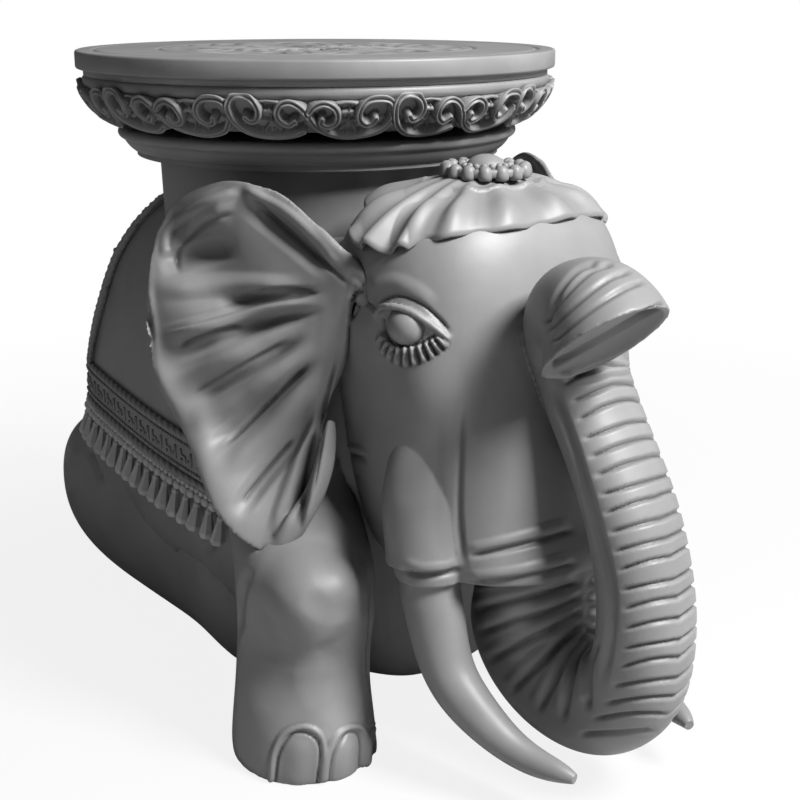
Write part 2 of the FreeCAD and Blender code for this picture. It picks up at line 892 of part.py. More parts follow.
def build():
    parts = {}
    torso = torso_form()
    drum = make_drum(torso)
    ear = make_ear()
    ears = [ear, mirrored(ear)]
    head = head_form().fuse([make_sheath(), mirrored(make_sheath())]).cut(torso)
    for item in ears:
        head = head.cut(item)
    ear_pins = ear_dowels()
    front_leg = make_front_leg().cut(head).cut(ear)
    front_pin = front_leg_dowel()
    hind_leg = make_hind_leg()
    hind_pin = hind_leg_dowel()
    trunk = make_trunk()
    tip = make_trunk_tip()
    eye = eye_ball()
    tusk = make_tusk()
    cloth = make_head_cloth().cut(head).cut(torso).cut(drum).cut(ears)
    disc = make_crown_disc()
    tail = make_tail(torso)
    saddle = make_saddle(torso, drum)

    parts["seat_top"] = make_seat_top().cut(make_drum_peg())
    parts["seat_dowels"] = make_seat_dowels()
    parts["frieze_ring"] = make_frieze().cut(make_drum_peg())
    parts["lower_moulding"] = make_lower_moulding()
    parts["drum"] = drum
    parts["drum_peg"] = make_drum_peg()
    body_pins = [front_pin, mirrored(front_pin), hind_pin, mirrored(hind_pin), head_pins(),
                 make_drum_peg()]
    limbs = [front_leg, mirrored(front_leg), hind_leg, mirrored(hind_leg)]
    parts["torso"] = main_solids(torso.cut(limbs).cut(body_pins))
    head_holes = [eye, mirrored(eye), tusk_tenon(overrun), mirrored(tusk_tenon(overrun)),
                  ear_pins, mirrored(ear_pins), head_pins(), trunk_pin()]
    parts["head"] = head.cut(head_holes)
    parts["head_pins"] = head_pins()
    parts["trunk"] = trunk.cut([trunk_pin(), tip_pin()])
    parts["trunk_pin"] = trunk_pin()
    parts["trunk_tip"] = tip.cut(tip_pin())
    parts["trunk_tip_pin"] = tip_pin()
    in_pairs(parts, "tusk", tusk)
    in_pairs(parts, "eye", eye)
    in_pairs(parts, "ear", ear.cut(ear_pins))
    in_pairs(parts, "ear_dowels", ear_pins)
    in_pairs(parts, "front_leg", front_leg.cut(front_pin))
    in_pairs(parts, "front_leg_dowel", front_pin)
    in_pairs(parts, "hind_leg", hind_leg.cut(hind_pin))
    in_pairs(parts, "hind_leg_dowel", hind_pin)
    parts["head_cloth"] = cloth
    parts["crown_disc"] = disc
    parts["crown_boss"] = make_crown_boss()
    parts["crown_beads"] = crown_circle(round_bead(crown_bead_radius), crown_bead_radius,
                                        crown_bead_count, crown_bead_circle_radius)
    parts["crown_seed_beads"] = crown_circle(faceted_bead(crown_seed_radius), crown_seed_radius,
                                             crown_seed_count, crown_seed_circle_radius)
    parts["tail"] = tail
    for name, piece in saddle.items():
        in_pairs(parts, name, piece)
    in_pairs(parts, "hem_beads", make_hem_beads(torso))
    in_pairs(parts, "pendants", make_pendants(torso))

    reach = Part.makeCompound([trunk, tip, hind_leg, tail]).optimalBoundingBox(False, False)
    shift_y = -(reach.YMin + reach.YMax) / 2
    return {name: place(shape, y=shift_y) for name, shape in parts.items()}


if __name__ == "__main__":
    os.makedirs("parts", exist_ok=True)
    for name, shape in build().items():
        shape.exportStep("parts/" + name + ".step")
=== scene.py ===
"""Carved elephant stool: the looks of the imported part.

Every place below is in metres in the part's own frame. The places that were worked out on the
stool itself are written in millimetres about the seat's turning axis, and spot() turns them.
The elephant faces -Y, and its right side, -X, is the side that the photograph shows.
"""

import logging
import math
from dataclasses import dataclass
from enum import Enum
from typing import Any, Iterable, Sequence

import bpy
import numpy as np
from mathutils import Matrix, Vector
from mathutils.bvhtree import BVHTree


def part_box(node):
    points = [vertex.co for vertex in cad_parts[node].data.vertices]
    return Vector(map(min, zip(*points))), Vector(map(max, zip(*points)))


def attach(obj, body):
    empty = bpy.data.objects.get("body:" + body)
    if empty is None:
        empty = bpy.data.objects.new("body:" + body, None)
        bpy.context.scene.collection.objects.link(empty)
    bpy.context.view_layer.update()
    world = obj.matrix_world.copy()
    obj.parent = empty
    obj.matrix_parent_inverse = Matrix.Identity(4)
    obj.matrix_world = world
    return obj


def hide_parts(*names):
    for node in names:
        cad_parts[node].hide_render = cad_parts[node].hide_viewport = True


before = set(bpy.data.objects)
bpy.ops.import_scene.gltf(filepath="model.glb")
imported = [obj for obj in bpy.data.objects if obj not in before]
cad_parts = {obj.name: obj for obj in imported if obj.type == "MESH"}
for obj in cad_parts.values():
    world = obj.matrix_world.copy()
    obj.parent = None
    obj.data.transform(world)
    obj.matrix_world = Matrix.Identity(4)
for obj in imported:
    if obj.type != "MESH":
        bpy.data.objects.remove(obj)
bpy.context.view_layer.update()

Array = np.ndarray
Faces = tuple[Array, Array]
Tone = tuple[float, float, float]
Place = tuple[float, float, float]
Pair = tuple[float, float]
Line = tuple[Pair, ...]
Swelling = tuple[Place, float, float]
MM = 0.001
UP = np.array([0.0, 0.0, 1.0])
# No line of the stool runs this way, so a tube's section can start from it.
ASKEW = (0.31, 0.17, 0.93)
# Above this share of a direction along Y, a shape is turned about another axis.
NEARLY_ALONG = 0.9
BLACK = (0.0, 0.0, 0.0)
WHITE = (1.0, 1.0, 1.0)
LOG = logging.getLogger("stool")


class Slot(Enum):
    """The record's material slots."""

    CARVED = "carved_wood"
    DOWEL = "dowel_wood"


class Side(Enum):
    """The two sides of the elephant, with the sign of their X."""

    RIGHT = -1
    LEFT = 1

    @property
    def word(self) -> str:
        """The side's name as the solids' names have it."""
        return self.name.lower()


def seat_axis_y() -> float:
    """Find the seat's turning axis.

    Returns:
        Its place along Y, in metres.
    """
    low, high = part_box("seat_top")
    return (low.y + high.y) / 2


SEAT_Y = seat_axis_y()


def spot(x: float, y: float, z: float) -> Array:
    """Turn millimetres about the seat's axis into the frame's metres.

    Args:
        x: Sideways, to the elephant's left.
        y: Along the elephant, backwards.
        z: Up from the ground.

    Returns:
        The point in the frame.
    """
    return np.array([x * MM, SEAT_Y + y * MM, z * MM])


def sided(*names: str) -> list[str]:
    """Name the right and the left node of each kind."""
    return [name + "_" + side.word for name in names for side in Side]


def smooth_path(points: Sequence[Sequence[float]], steps: int = 6) -> Array:
    """Run a smooth line through a few points.

    Args:
        points: The points, in two or three directions.
        steps: Steps from one point to the next.

    Returns:
        The points along the line, one per row.
    """
    given = np.asarray(points, float)
    if len(given) < 3:
        shares = np.linspace(0, 1, steps + 1)[:, None]
        return given[0] + (given[-1] - given[0]) * shares
    padded = np.vstack([2 * given[0] - given[1], given, 2 * given[-1] - given[-2]])
    share = np.linspace(0, 1, steps, endpoint=False)[:, None]
    runs = []
    for index in range(len(given) - 1):
        a, b, c, d = padded[index:index + 4]
        runs.append(0.5 * (2 * b + (c - a) * share + (2 * a - 5 * b + 4 * c - d) * share ** 2
                           + (3 * b - a - 3 * c + d) * share ** 3))
    return np.vstack(runs + [given[-1:]])


def path_distance(points: Array, path: Array) -> tuple[Array, Array]:
    """Measure how far points lie from a line of short runs.

    Args:
        points: The points, one per row.
        path: The line's points, one per row.

    Returns:
        Each point's distance, and the share of the line at which it is nearest.
    """
    best = np.full(len(points), np.inf)
    along = np.zeros(len(points))
    lengths = np.linalg.norm(np.diff(path, axis=0), axis=1)
    total = lengths.sum()
    passed = 0.0
    for start, end, length in zip(path[:-1], path[1:], lengths):
        run = end - start
        share = np.clip((points - start) @ run / max(length * length, 1e-12), 0, 1)
        gap = np.linalg.norm(points - start - share[:, None] * run, axis=1)
        closer = gap < best
        best[closer] = gap[closer]
        along[closer] = (passed + share[closer] * length) / total
        passed += length
    return best, along


def along_path(points: Sequence[Sequence[float]], share: float) -> Array:
    """Find the place at one share of a smooth line's length.

    Args:
        points: The line's points.
        share: The share of its length.

    Returns:
        The place.
    """
    path = smooth_path(points)
    passed = np.concatenate([[0], np.cumsum(np.linalg.norm(np.diff(path, axis=0), axis=1))])
    return np.array([np.interp(share * passed[-1], passed, part) for part in path.T])


def eased(value: Array, start: float, end: float) -> Array:
    """Rise smoothly from nought to one.

    Args:
        value: The values to ease.
        start: The value at which the rise starts.
        end: The value at which it ends.

    Returns:
        The eased shares.
    """
    share = np.clip((np.asarray(value, float) - start) / (end - start), 0, 1)
    return share * share * (3 - 2 * share)


def rounded(distance: Array, half_width: float) -> Array:
    """The round section of a bead or a gouge cut, one at its middle and nought at its edge."""
    return np.clip(1 - (distance / half_width) ** 2, 0, 1) ** 2


def piece_from(name: str, shape: Faces) -> bpy.types.Object:
    """Make an object from points and faces.

    Args:
        name: The object's name.
        shape: Points, one per row, and faces with one number of corners.

    Returns:
        The object, in the scene and shaded smooth.
    """
    points, faces = shape
    mesh = bpy.data.meshes.new(name)
    corners = faces.shape[1]
    mesh.vertices.add(len(points))
    mesh.vertices.foreach_set("co", points.astype(np.float32).ravel())
    mesh.loops.add(faces.size)
    mesh.loops.foreach_set("vertex_index", faces.astype(np.int32).ravel())
    mesh.polygons.add(len(faces))
    mesh.polygons.foreach_set("loop_start", np.arange(0, faces.size, corners, dtype=np.int32))
    mesh.update(calc_edges=True)
    mesh.validate()
    mesh.shade_smooth()
    piece = bpy.data.objects.new(name, mesh)
    bpy.context.scene.collection.objects.link(piece)
    return piece


def merged(shapes: Iterable[Faces]) -> Faces:
    """Put several shapes with faces of one kind together.

    Args:
        shapes: Points and faces of each.

    Returns:
        The points and faces of all.
    """
    points, faces = [], []
    count = 0
    for shape_points, shape_faces in shapes:
        points.append(shape_points)
        faces.append(shape_faces + count)
        count += len(shape_points)
    return np.vstack(points), np.vstack(faces)


def grid_faces(rows: int, columns: int, wrap: bool) -> Array:
    """Number the four-cornered faces of a grid.

    Args:
        rows: Rows of points.
        columns: Points in a row.
        wrap: Whether the last column joins the first.

    Returns:
        The faces, one per row.
    """
    across = columns if wrap else columns - 1
    row, column = np.meshgrid(np.arange(rows - 1), np.arange(across), indexing="ij")
    ahead = (column + 1) % columns
    return np.stack([row * columns + column, row * columns + ahead,
                     (row + 1) * columns + ahead, (row + 1) * columns + column], -1).reshape(-1, 4)


def capped_grid(rings: Array) -> Faces:
    """Close a tube of rings with a point at each end, as triangles.

    Args:
        rings: Rings of points, as (ring, point, XYZ).

    Returns:
        Points and triangles.
    """
    ring_count, side_count, _ = rings.shape
    points = np.vstack([rings.reshape(-1, 3), rings[0].mean(0), rings[-1].mean(0)])
    quads = grid_faces(ring_count, side_count, True)
    triangles = [quads[:, [0, 1, 2]], quads[:, [0, 2, 3]]]
    first = np.arange(side_count)
    ahead = (first + 1) % side_count
    low = ring_count * side_count
    last = (ring_count - 1) * side_count
    triangles.append(np.stack([np.full(side_count, low), ahead, first], -1))
    triangles.append(np.stack([np.full(side_count, low + 1), last + first, last + ahead], -1))
    return points, np.vstack(triangles)


def tube(path: Array, radii: Sequence[float], sides: int = 12, lobes: int = 0,
         turns: float = 0.0, lobe_share: float = 0.2) -> Faces:
    """Sweep a round or lobed section along a line.

    Args:
        path: The line's points, one per row.
        radii: Radius at the points, spread evenly along the line.
        sides: Points round the section.
        lobes: Strands of a twisted cord, or none for a round tube.
        turns: Turns of the twist over the whole line.
        lobe_share: How far the strands stand out, as a share of the radius.

    Returns:
        Points and triangles.
    """
    count = len(path)
    ahead = np.gradient(path, axis=0)
    ahead /= np.linalg.norm(ahead, axis=1)[:, None]
    side = np.cross(ahead[0], ASKEW)
    girth = np.interp(np.linspace(0, 1, count), np.linspace(0, 1, len(radii)), radii)
    angle = np.arange(sides) * 2 * math.pi / sides
    rings = []
    for index in range(count):
        side = side - ahead[index] * (side @ ahead[index])
        side /= np.linalg.norm(side)
        up = np.cross(ahead[index], side)
        twist = 2 * math.pi * turns * index / count
        reach = girth[index] * (1 + lobe_share * np.cos(lobes * (angle - twist)) if lobes else 1.0)
        reach = np.broadcast_to(reach, angle.shape)[:, None]
        rings.append(path[index] + reach * (np.cos(angle)[:, None] * side + np.sin(angle)[:, None] * up))
    return capped_grid(np.array(rings))


def turned(profile: Array, sides: int) -> Faces:
    """Turn a profile about the Z axis.

    Args:
        profile: Radius and height of each point, from the bottom up.
        sides: Steps round the axis.

    Returns:
        Points and triangles, with the ends closed.
    """
    angle = np.arange(sides) * 2 * math.pi / sides
    rings = np.stack([profile[:, None, 0] * np.cos(angle), profile[:, None, 0] * np.sin(angle),
                      np.broadcast_to(profile[:, None, 1], (len(profile), sides))], -1)
    return capped_grid(rings)


def placed(shape: Faces, centre: Array, axis: Array, about: float = 0.0) -> Faces:
    """Stand a shape on a point with its Z axis along a direction.

    Args:
        shape: Points and faces.
        centre: Where its origin goes.
        axis: Where its Z axis points.
        about: Turn about that axis, in radians.

    Returns:
        The points and faces there.
    """
    up = axis / np.linalg.norm(axis)
    hint = np.array([0.0, 1.0, 0.0]) if abs(up[1]) < NEARLY_ALONG else np.array([1.0, 0.0, 0.0])
    side = np.cross(hint, up)
    side /= np.linalg.norm(side)
    front = np.cross(up, side)
    turned_side = side * math.cos(about) + front * math.sin(about)
    turned_front = front * math.cos(about) - side * math.sin(about)
    points, faces = shape
    return points @ np.array([turned_side, turned_front, up]) + centre, faces


def ball(radius: float, squash: float = 1.0, rings: int = 9, sides: int = 16) -> Faces:
    """Make a round bead about the origin.

    Args:
        radius: The bead's radius.
        squash: Its height as a share of its width.
        rings: Rings from pole to pole.
        sides: Points round a ring.

    Returns:
        Points and triangles.
    """
    slope = np.linspace(-math.pi / 2, math.pi / 2, rings + 2)[1:-1]
    return turned(np.stack([radius * np.cos(slope), radius * squash * np.sin(slope)], -1), sides)


def mirrored(shape: Faces) -> Faces:
    """Mirror points and faces to the other side of the elephant."""
    points, faces = shape
    return points * np.array([-1.0, 1.0, 1.0]), faces[:, ::-1]


def read_rows(items: Any, field: str, width: int, kind: type = np.float32) -> Array:
    """Read one field of a mesh's vertices, loops or triangles.

    Args:
        items: The mesh's collection.
        field: The field's name.
        width: Numbers in a row.
        kind: The kind of number.

    Returns:
        The numbers, one item per row.
    """
    values = np.zeros(len(items) * width, kind)
    items.foreach_get(field, values)
    return values.reshape(-1, width)


def node_shape(name: str) -> Faces:
    """Read a solid's surface from the frame.

    Args:
        name: The CAD node.

    Returns:
        Points and triangles.
    """
    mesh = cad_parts[name].data
    mesh.calc_loop_triangles()
    return (read_rows(mesh.vertices, "co", 3).astype(float),
            read_rows(mesh.loop_triangles, "vertices", 3, np.int32))


@dataclass(frozen=True)
class PhotoView:
    """The camera of the photograph, an image 800 pixels square."""

    place: tuple[float, float, float] = (-572.0, -826.0, 476.0)
    down_degrees: float = 16.53
    heading_degrees: float = -38.0
    lens_mm: float = 63.0
    sensor_mm: float = 36.0
    image_pixels: float = 800.0

    def axes(self) -> tuple[Array, Array, Array]:
        """Work out the camera's directions.

        Returns:
            Right, up and ahead, as unit vectors.
        """
        down = math.radians(self.down_degrees)
        heading = math.radians(self.heading_degrees)
        right = np.array([math.cos(heading), math.sin(heading), 0.0])
        level = np.array([-math.sin(heading), math.cos(heading), 0.0])
        return (right, level * math.sin(down) + UP * math.cos(down),
                level * math.cos(down) - UP * math.sin(down))

    def pixels(self, points: Array) -> Array:
        """Find where points show in the photograph.

        Args:
            points: Points in the frame, one per row.

        Returns:
            Their pixel coordinates, one pair per row.
        """
        right, up, ahead = self.axes()
        away = points - spot(*self.place)
        focal = self.image_pixels * self.lens_mm / self.sensor_mm
        depth = away @ ahead
        middle = self.image_pixels / 2
        return np.stack([middle + focal * (away @ right) / depth,
                         middle - focal * (away @ up) / depth], -1)

    def facing(self, points: Array, normals: Array) -> Array:
        """Say how squarely each point faces the camera.

        Args:
            points: The points, one per row.
            normals: Their outward directions.

        Returns:
            Shares from minus one to one.
        """
        towards = spot(*self.place) - points
        towards /= np.linalg.norm(towards, axis=1)[:, None]
        return (normals * towards).sum(1)

    def make_camera(self) -> None:
        """Put the camera in the scene."""
        data = bpy.data.cameras.new("photo_camera")
        data.lens = self.lens_mm
        data.sensor_width = self.sensor_mm
        camera = bpy.data.objects.new("photo_camera", data)
        camera.location = Vector(spot(*self.place))
        camera.rotation_euler = (math.radians(90 - self.down_degrees), 0.0,
                                 math.radians(self.heading_degrees))
        bpy.context.scene.collection.objects.link(camera)
        bpy.context.scene.camera = camera


VIEW = PhotoView()


@dataclass(frozen=True)
class Stroke:
    """One cut or ridge of the carver's tool, drawn in the photograph's pixels.

    A height is in millimetres, below zero for a cut, and a half width in pixels.
    """

    path: Line
    half_width: float
    height: float
    fade: float = 0.25


Strokes = tuple[Stroke, ...]


class Sculpture:
    """A solid's surface as an even skin that the carver's strokes can shape."""

    open_from: float = 0.25
    ease_factor: float = 0.5

    def __init__(self, name: str, nodes: Sequence[str], voxel: float, smoothing: int,
                 clay: Sequence[Faces] = ()) -> None:
        """Wrap solids and added clay in one even skin.

        Args:
            name: The new piece's name.
            nodes: The CAD nodes to wrap.
            voxel: Size of the skin's faces, in metres.
            smoothing: Rounds of smoothing.
            clay: Shapes that are added before the skin is made.
        """
        rough = piece_from(name + "_rough", merged([node_shape(node) for node in nodes] + list(clay)))
        remesh = rough.modifiers.new("skin", "REMESH")
        remesh.mode = "VOXEL"
        remesh.voxel_size = voxel
        ease = rough.modifiers.new("ease", "SMOOTH")
        ease.factor = self.ease_factor
        ease.iterations = smoothing
        skin = bpy.data.meshes.new_from_object(
            rough.evaluated_get(bpy.context.evaluated_depsgraph_get()))
        points = read_rows(skin.vertices, "co", 3).astype(float)
        faces = read_rows(skin.loops, "vertex_index", 1, np.int32).reshape(-1, 4)
        bpy.data.objects.remove(rough)
        self.piece = piece_from(name, self.outer_part(points, faces))
        self.read()

    @staticmethod
    def outer_part(points: Array, faces: Array) -> Faces:
        """Keep the largest joined part of a skin, and leave out closed hollows inside it.

        Args:
            points: The skin's points.
            faces: Its faces.

        Returns:
            The points and faces that stay.
        """
        label = np.arange(len(points))
        ends = np.vstack([faces[:, [0, 1]], faces[:, [1, 2]], faces[:, [2, 3]]])
        while True:
            lowest = np.minimum(label[ends[:, 0]], label[ends[:, 1]])
            after = label.copy()
            np.minimum.at(after, ends[:, 0], lowest)
            np.minimum.at(after, ends[:, 1], lowest)
            after = after[after]
            if np.array_equal(after, label):
                break
            label = after
        names, counts = np.unique(label, return_counts=True)
        kept = label == names[counts.argmax()]
        renumbered = np.cumsum(kept) - 1
        return points[kept], renumbered[faces[kept[faces[:, 0]]]]

    def read(self) -> None:
        """Read points and normals, and fold both onto the elephant's right side."""
        mesh = self.piece.data
        self.points = read_rows(mesh.vertices, "co", 3).astype(float)
        self.normals = read_rows(mesh.vertex_normals, "vector", 3).astype(float)
        self.fold = np.where(self.points[:, :1] > 0, [[-1.0, 1.0, 1.0]], [[1.0, 1.0, 1.0]])
        folded = self.points * self.fold
        self.pixels = VIEW.pixels(folded)
        self.open_share = eased(VIEW.facing(folded, self.normals * self.fold), 0.0, self.open_from)
        self.local = (folded - spot(0, 0, 0)) / MM
        self.offset = np.zeros(len(self.points))

    def field(self, strokes: Iterable[Stroke]) -> Array:
        """Work out how high strokes stand at each point.

        Args:
            strokes: The strokes, in the photograph's pixels.

        Returns:
            The heights in metres.
        """
        total = np.zeros(len(self.points))
        for item in strokes:
            path = smooth_path(item.path)
            low, high = path.min(0) - item.half_width, path.max(0) + item.half_width
            near = np.flatnonzero(((self.pixels > low) & (self.pixels < high)).all(1))
            distance, along = path_distance(self.pixels[near], path)
            ends = eased(along, 0, item.fade) * eased(1 - along, 0, item.fade) if item.fade else 1.0
            total[near] += item.height * MM * rounded(distance, item.half_width) * ends
        return total

    def swell(self, swellings: Iterable[Swelling]) -> None:
        """Raise or sink round places before the next carving.

        Args:
            swellings: The middle, the radius and the height of each, in millimetres.
        """
        for centre, radius, height in swellings:
            distance = np.linalg.norm(self.local - np.asarray(centre, float), axis=1)
            self.offset += height * MM * rounded(distance, radius)

    def carve(self, strokes: Iterable[Stroke] = ()) -> None:
        """Work strokes and the swellings so far into the skin, on both sides of the elephant.

        Args:
            strokes: The strokes, in the photograph's pixels.
        """
        self.offset += self.field(strokes) * self.open_share
        self.set_points(self.points + self.normals * self.offset[:, None])

    def bend(self, strokes: Iterable[Stroke], direction: Place) -> None:
        """Shift a thin sheet, front and back alike, so that strokes show as its folds.

        Args:
            strokes: The strokes, in the photograph's pixels.
            direction: Where a height above zero goes, on the elephant's right side.
        """
        self.set_points(self.points + self.field(strokes)[:, None] * (self.fold * direction))

    def set_points(self, points: Array) -> None:
        """Give the skin new points and read it again.

        Args:
            points: The points, one per row.
        """
        mesh = self.piece.data
        mesh.vertices.foreach_set("co", points.astype(np.float32).ravel())
        mesh.update()
        self.read()

    def finish(self, nodes: Sequence[str]) -> None:
        """Keep the skin above the ground and dress it.

        Args:
            nodes: The CAD nodes that it stands for.
        """
        self.set_points(np.maximum(self.points, [-np.inf, -np.inf, 0.0]))
        dress(self.piece, GREY, nodes)


class Wiring:
    """The shader nodes of a material or of the world."""

    def __init__(self, owner: bpy.types.Material | bpy.types.World) -> None:
        """Turn the owner's nodes on.

        Args:
            owner: The material or the world.
        """
        owner.use_nodes = True
        self.nodes = owner.node_tree.nodes
        self.link = owner.node_tree.links.new

    def add(self, kind: str, inputs: dict[str | int, Any], **settings: Any) -> bpy.types.Node:
        """Add a node.

        Args:
            kind: Its type, without Blender's prefix.
            inputs: A value or another node's output for each input.
            settings: The node's own settings.

        Returns:
            The node.
        """
        node = self.nodes.new("ShaderNode" + kind)
        for name, value in settings.items():
            setattr(node, name, value)
        self.fill(node, inputs)
        return node

    def fill(self, node: bpy.types.Node, inputs: dict[str | int, Any]) -> None:
        """Set or join a node's inputs.

        Args:
            node: The node.
            inputs: A value or another node's output for each input.
        """
        for name, value in inputs.items():
            if isinstance(value, bpy.types.NodeSocket):
                self.link(value, node.inputs[name])
            else:
                node.inputs[name].default_value = value

    def ramp(self, factor: bpy.types.NodeSocket, stops: Sequence[tuple[float, Tone]]) -> bpy.types.NodeSocket:
        """Add a colour ramp of two stops.

        Args:
            factor: What it follows.
            stops: The place and the tone of each stop.

        Returns:
            Its colour.
        """
        node = self.add("ValToRGB", {"Fac": factor})
        for element, (position, tone) in zip(node.color_ramp.elements, stops):
            element.position = position
            element.color = (*tone, 1.0)
        return node.outputs["Color"]


@dataclass(frozen=True)
class CarvedFinish:
    """A satin finish over carved wood: knife facets, fine tooth and painted shade that darkens the hollows
    and creases.
    """

    name: str = "satin_grey_wood"
    slot: Slot = Slot.CARVED
    tone: Tone = (0.16, 0.16, 0.162)
    # Dark tone of the painted shade laid into hollows and creases.
    painted_shade_tone: Tone = (0.03, 0.03, 0.031)
    roughness: float = 0.47
    roughness_spread: float = 0.07
    specular: float = 0.34
    mottle_stops: Pair = (0.3, 0.72)
    mottle_shades: Pair = (0.9, 1.08)
    # Pointiness over which the painted shade in hollows fades into the plain tone.
    painted_shade_stops: Pair = (0.42, 0.495)
    mottle_scale: float = 26.0
    rub_scale: float = 60.0
    facet_scale: float = 90.0
    facet_smoothness: float = 0.6
    facet_height: float = 0.00022
    tooth_scale: float = 900.0
    mottle_detail: float = 5.0
    rub_detail: float = 3.0
    tooth_detail: float = 4.0
    tooth_height: float = 0.00003
    relief_strength: float = 0.5

    def material(self) -> bpy.types.Material:
        """Make the material, or find it if it's there.

        Returns:
            The material.
        """
        found = bpy.data.materials.get(self.name)
        if found:
            return found
        made = bpy.data.materials.new(self.name)
        wiring = Wiring(made)
        place = wiring.add("TexCoord", {}).outputs["Object"]
        mottle = wiring.add("TexNoise", {"Scale": self.mottle_scale, "Detail": self.mottle_detail,
                                         "Vector": place})
        shades = [tuple(shade * part for part in self.tone) for shade in self.mottle_shades]
        tone = wiring.ramp(mottle.outputs["Fac"], list(zip(self.mottle_stops, shades)))
        # Painted shade: pointiness darkens creases and hollows toward the dark tone, where shade falls; depth
        # below is that painted-shade mask.
        painted_shade_pointiness = wiring.add("NewGeometry", {}).outputs["Pointiness"]
        depth = wiring.ramp(painted_shade_pointiness, list(zip(self.painted_shade_stops, (BLACK, WHITE))))
        mix = wiring.add("Mix", {"A": (*self.painted_shade_tone, 1.0), "Factor": depth, "B": tone}, data_type="RGBA")
        rub = wiring.add("TexNoise", {"Scale": self.rub_scale, "Detail": self.rub_detail, "Vector": place})
        gloss = wiring.add("MapRange", {"To Min": self.roughness - self.roughness_spread,
                                        "To Max": self.roughness + self.roughness_spread,
                                        "Value": rub.outputs["Fac"]})
        wiring.fill(wiring.nodes["Principled BSDF"], {
            "Specular IOR Level": self.specular, "Base Color": mix.outputs["Result"],
            "Roughness": gloss.outputs["Result"], "Normal": self.relief(wiring, place)})
        return made

    def relief(self, wiring: Wiring, place: bpy.types.NodeSocket) -> bpy.types.NodeSocket:
        """Add the knife's shallow facets and the wood's fine tooth.

        Args:
            wiring: The material's nodes.
            place: The place on the object.

        Returns:
            The bumped normal.
        """
        facets = wiring.add("TexVoronoi", {"Scale": self.facet_scale, "Smoothness": self.facet_smoothness,
                                           "Vector": place}, feature="SMOOTH_F1")
        tooth = wiring.add("TexNoise", {"Scale": self.tooth_scale, "Detail": self.tooth_detail,
                                        "Vector": place})
        coarse = wiring.add("Bump", {"Strength": self.relief_strength, "Distance": self.facet_height,
                                     "Height": facets.outputs["Distance"]})
        fine = wiring.add("Bump", {"Strength": self.relief_strength, "Distance": self.tooth_height,
                                   "Height": tooth.outputs["Fac"], "Normal": coarse.outputs["Normal"]})
        return fine.outputs["Normal"]


GREY = CarvedFinish()
# A paler copy of the grey finish: painted highlight for the hem beads and bell pendants, which catch the
# light. Its dark second tone is painted shade in the hollows.
PAINTED_HIGHLIGHT_GREY = CarvedFinish("painted_highlight_grey_wood", tone=(0.34, 0.34, 0.342), painted_shade_tone=(0.06, 0.06, 0.062))
# Its dark second tone is painted shade in the dowels' hollows, as in the grey finishes.
PLAIN_WOOD = CarvedFinish("dowel_wood", Slot.DOWEL, (0.36, 0.25, 0.15), (0.12, 0.07, 0.04), 0.6)


def dress(piece: bpy.types.Object, finish: CarvedFinish, nodes: Sequence[str] = ()) -> None:
    """Give a piece its finish, let it ride and hide the solids that it stands for.

    Args:
        piece: The piece.
        finish: Its finish.
        nodes: The CAD nodes that it stands for.
    """
    piece.data.materials.clear()
    piece.data.materials.append(finish.material())
    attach(piece, "root")
    if nodes:
        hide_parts(*nodes)
    LOG.info("%s: %d faces", piece.name, len(piece.data.polygons))


@dataclass(frozen=True)
class Lamp:
    """A soft lamp that looks at the stool, placed by shares of the camera's directions."""

    name: str
    right: float
    ahead: float
    rise: float
    distance: float
    size: float
    power: float

    def hang(self, middle: Array) -> None:
        """Put the lamp in the scene.

        Args:
            middle: The point that it looks at.
        """
        right, _, ahead = VIEW.axes()
        data = bpy.data.lights.new(self.name, "AREA")
        data.size = self.size
        data.energy = self.power
        lamp = bpy.data.objects.new(self.name, data)
        away = Vector(right * self.right + ahead * self.ahead + UP * self.rise).normalized()
        lamp.location = Vector(middle) + away * self.distance
        lamp.rotation_euler = away.to_track_quat("Z", "Y").to_euler()
        bpy.context.scene.collection.objects.link(lamp)


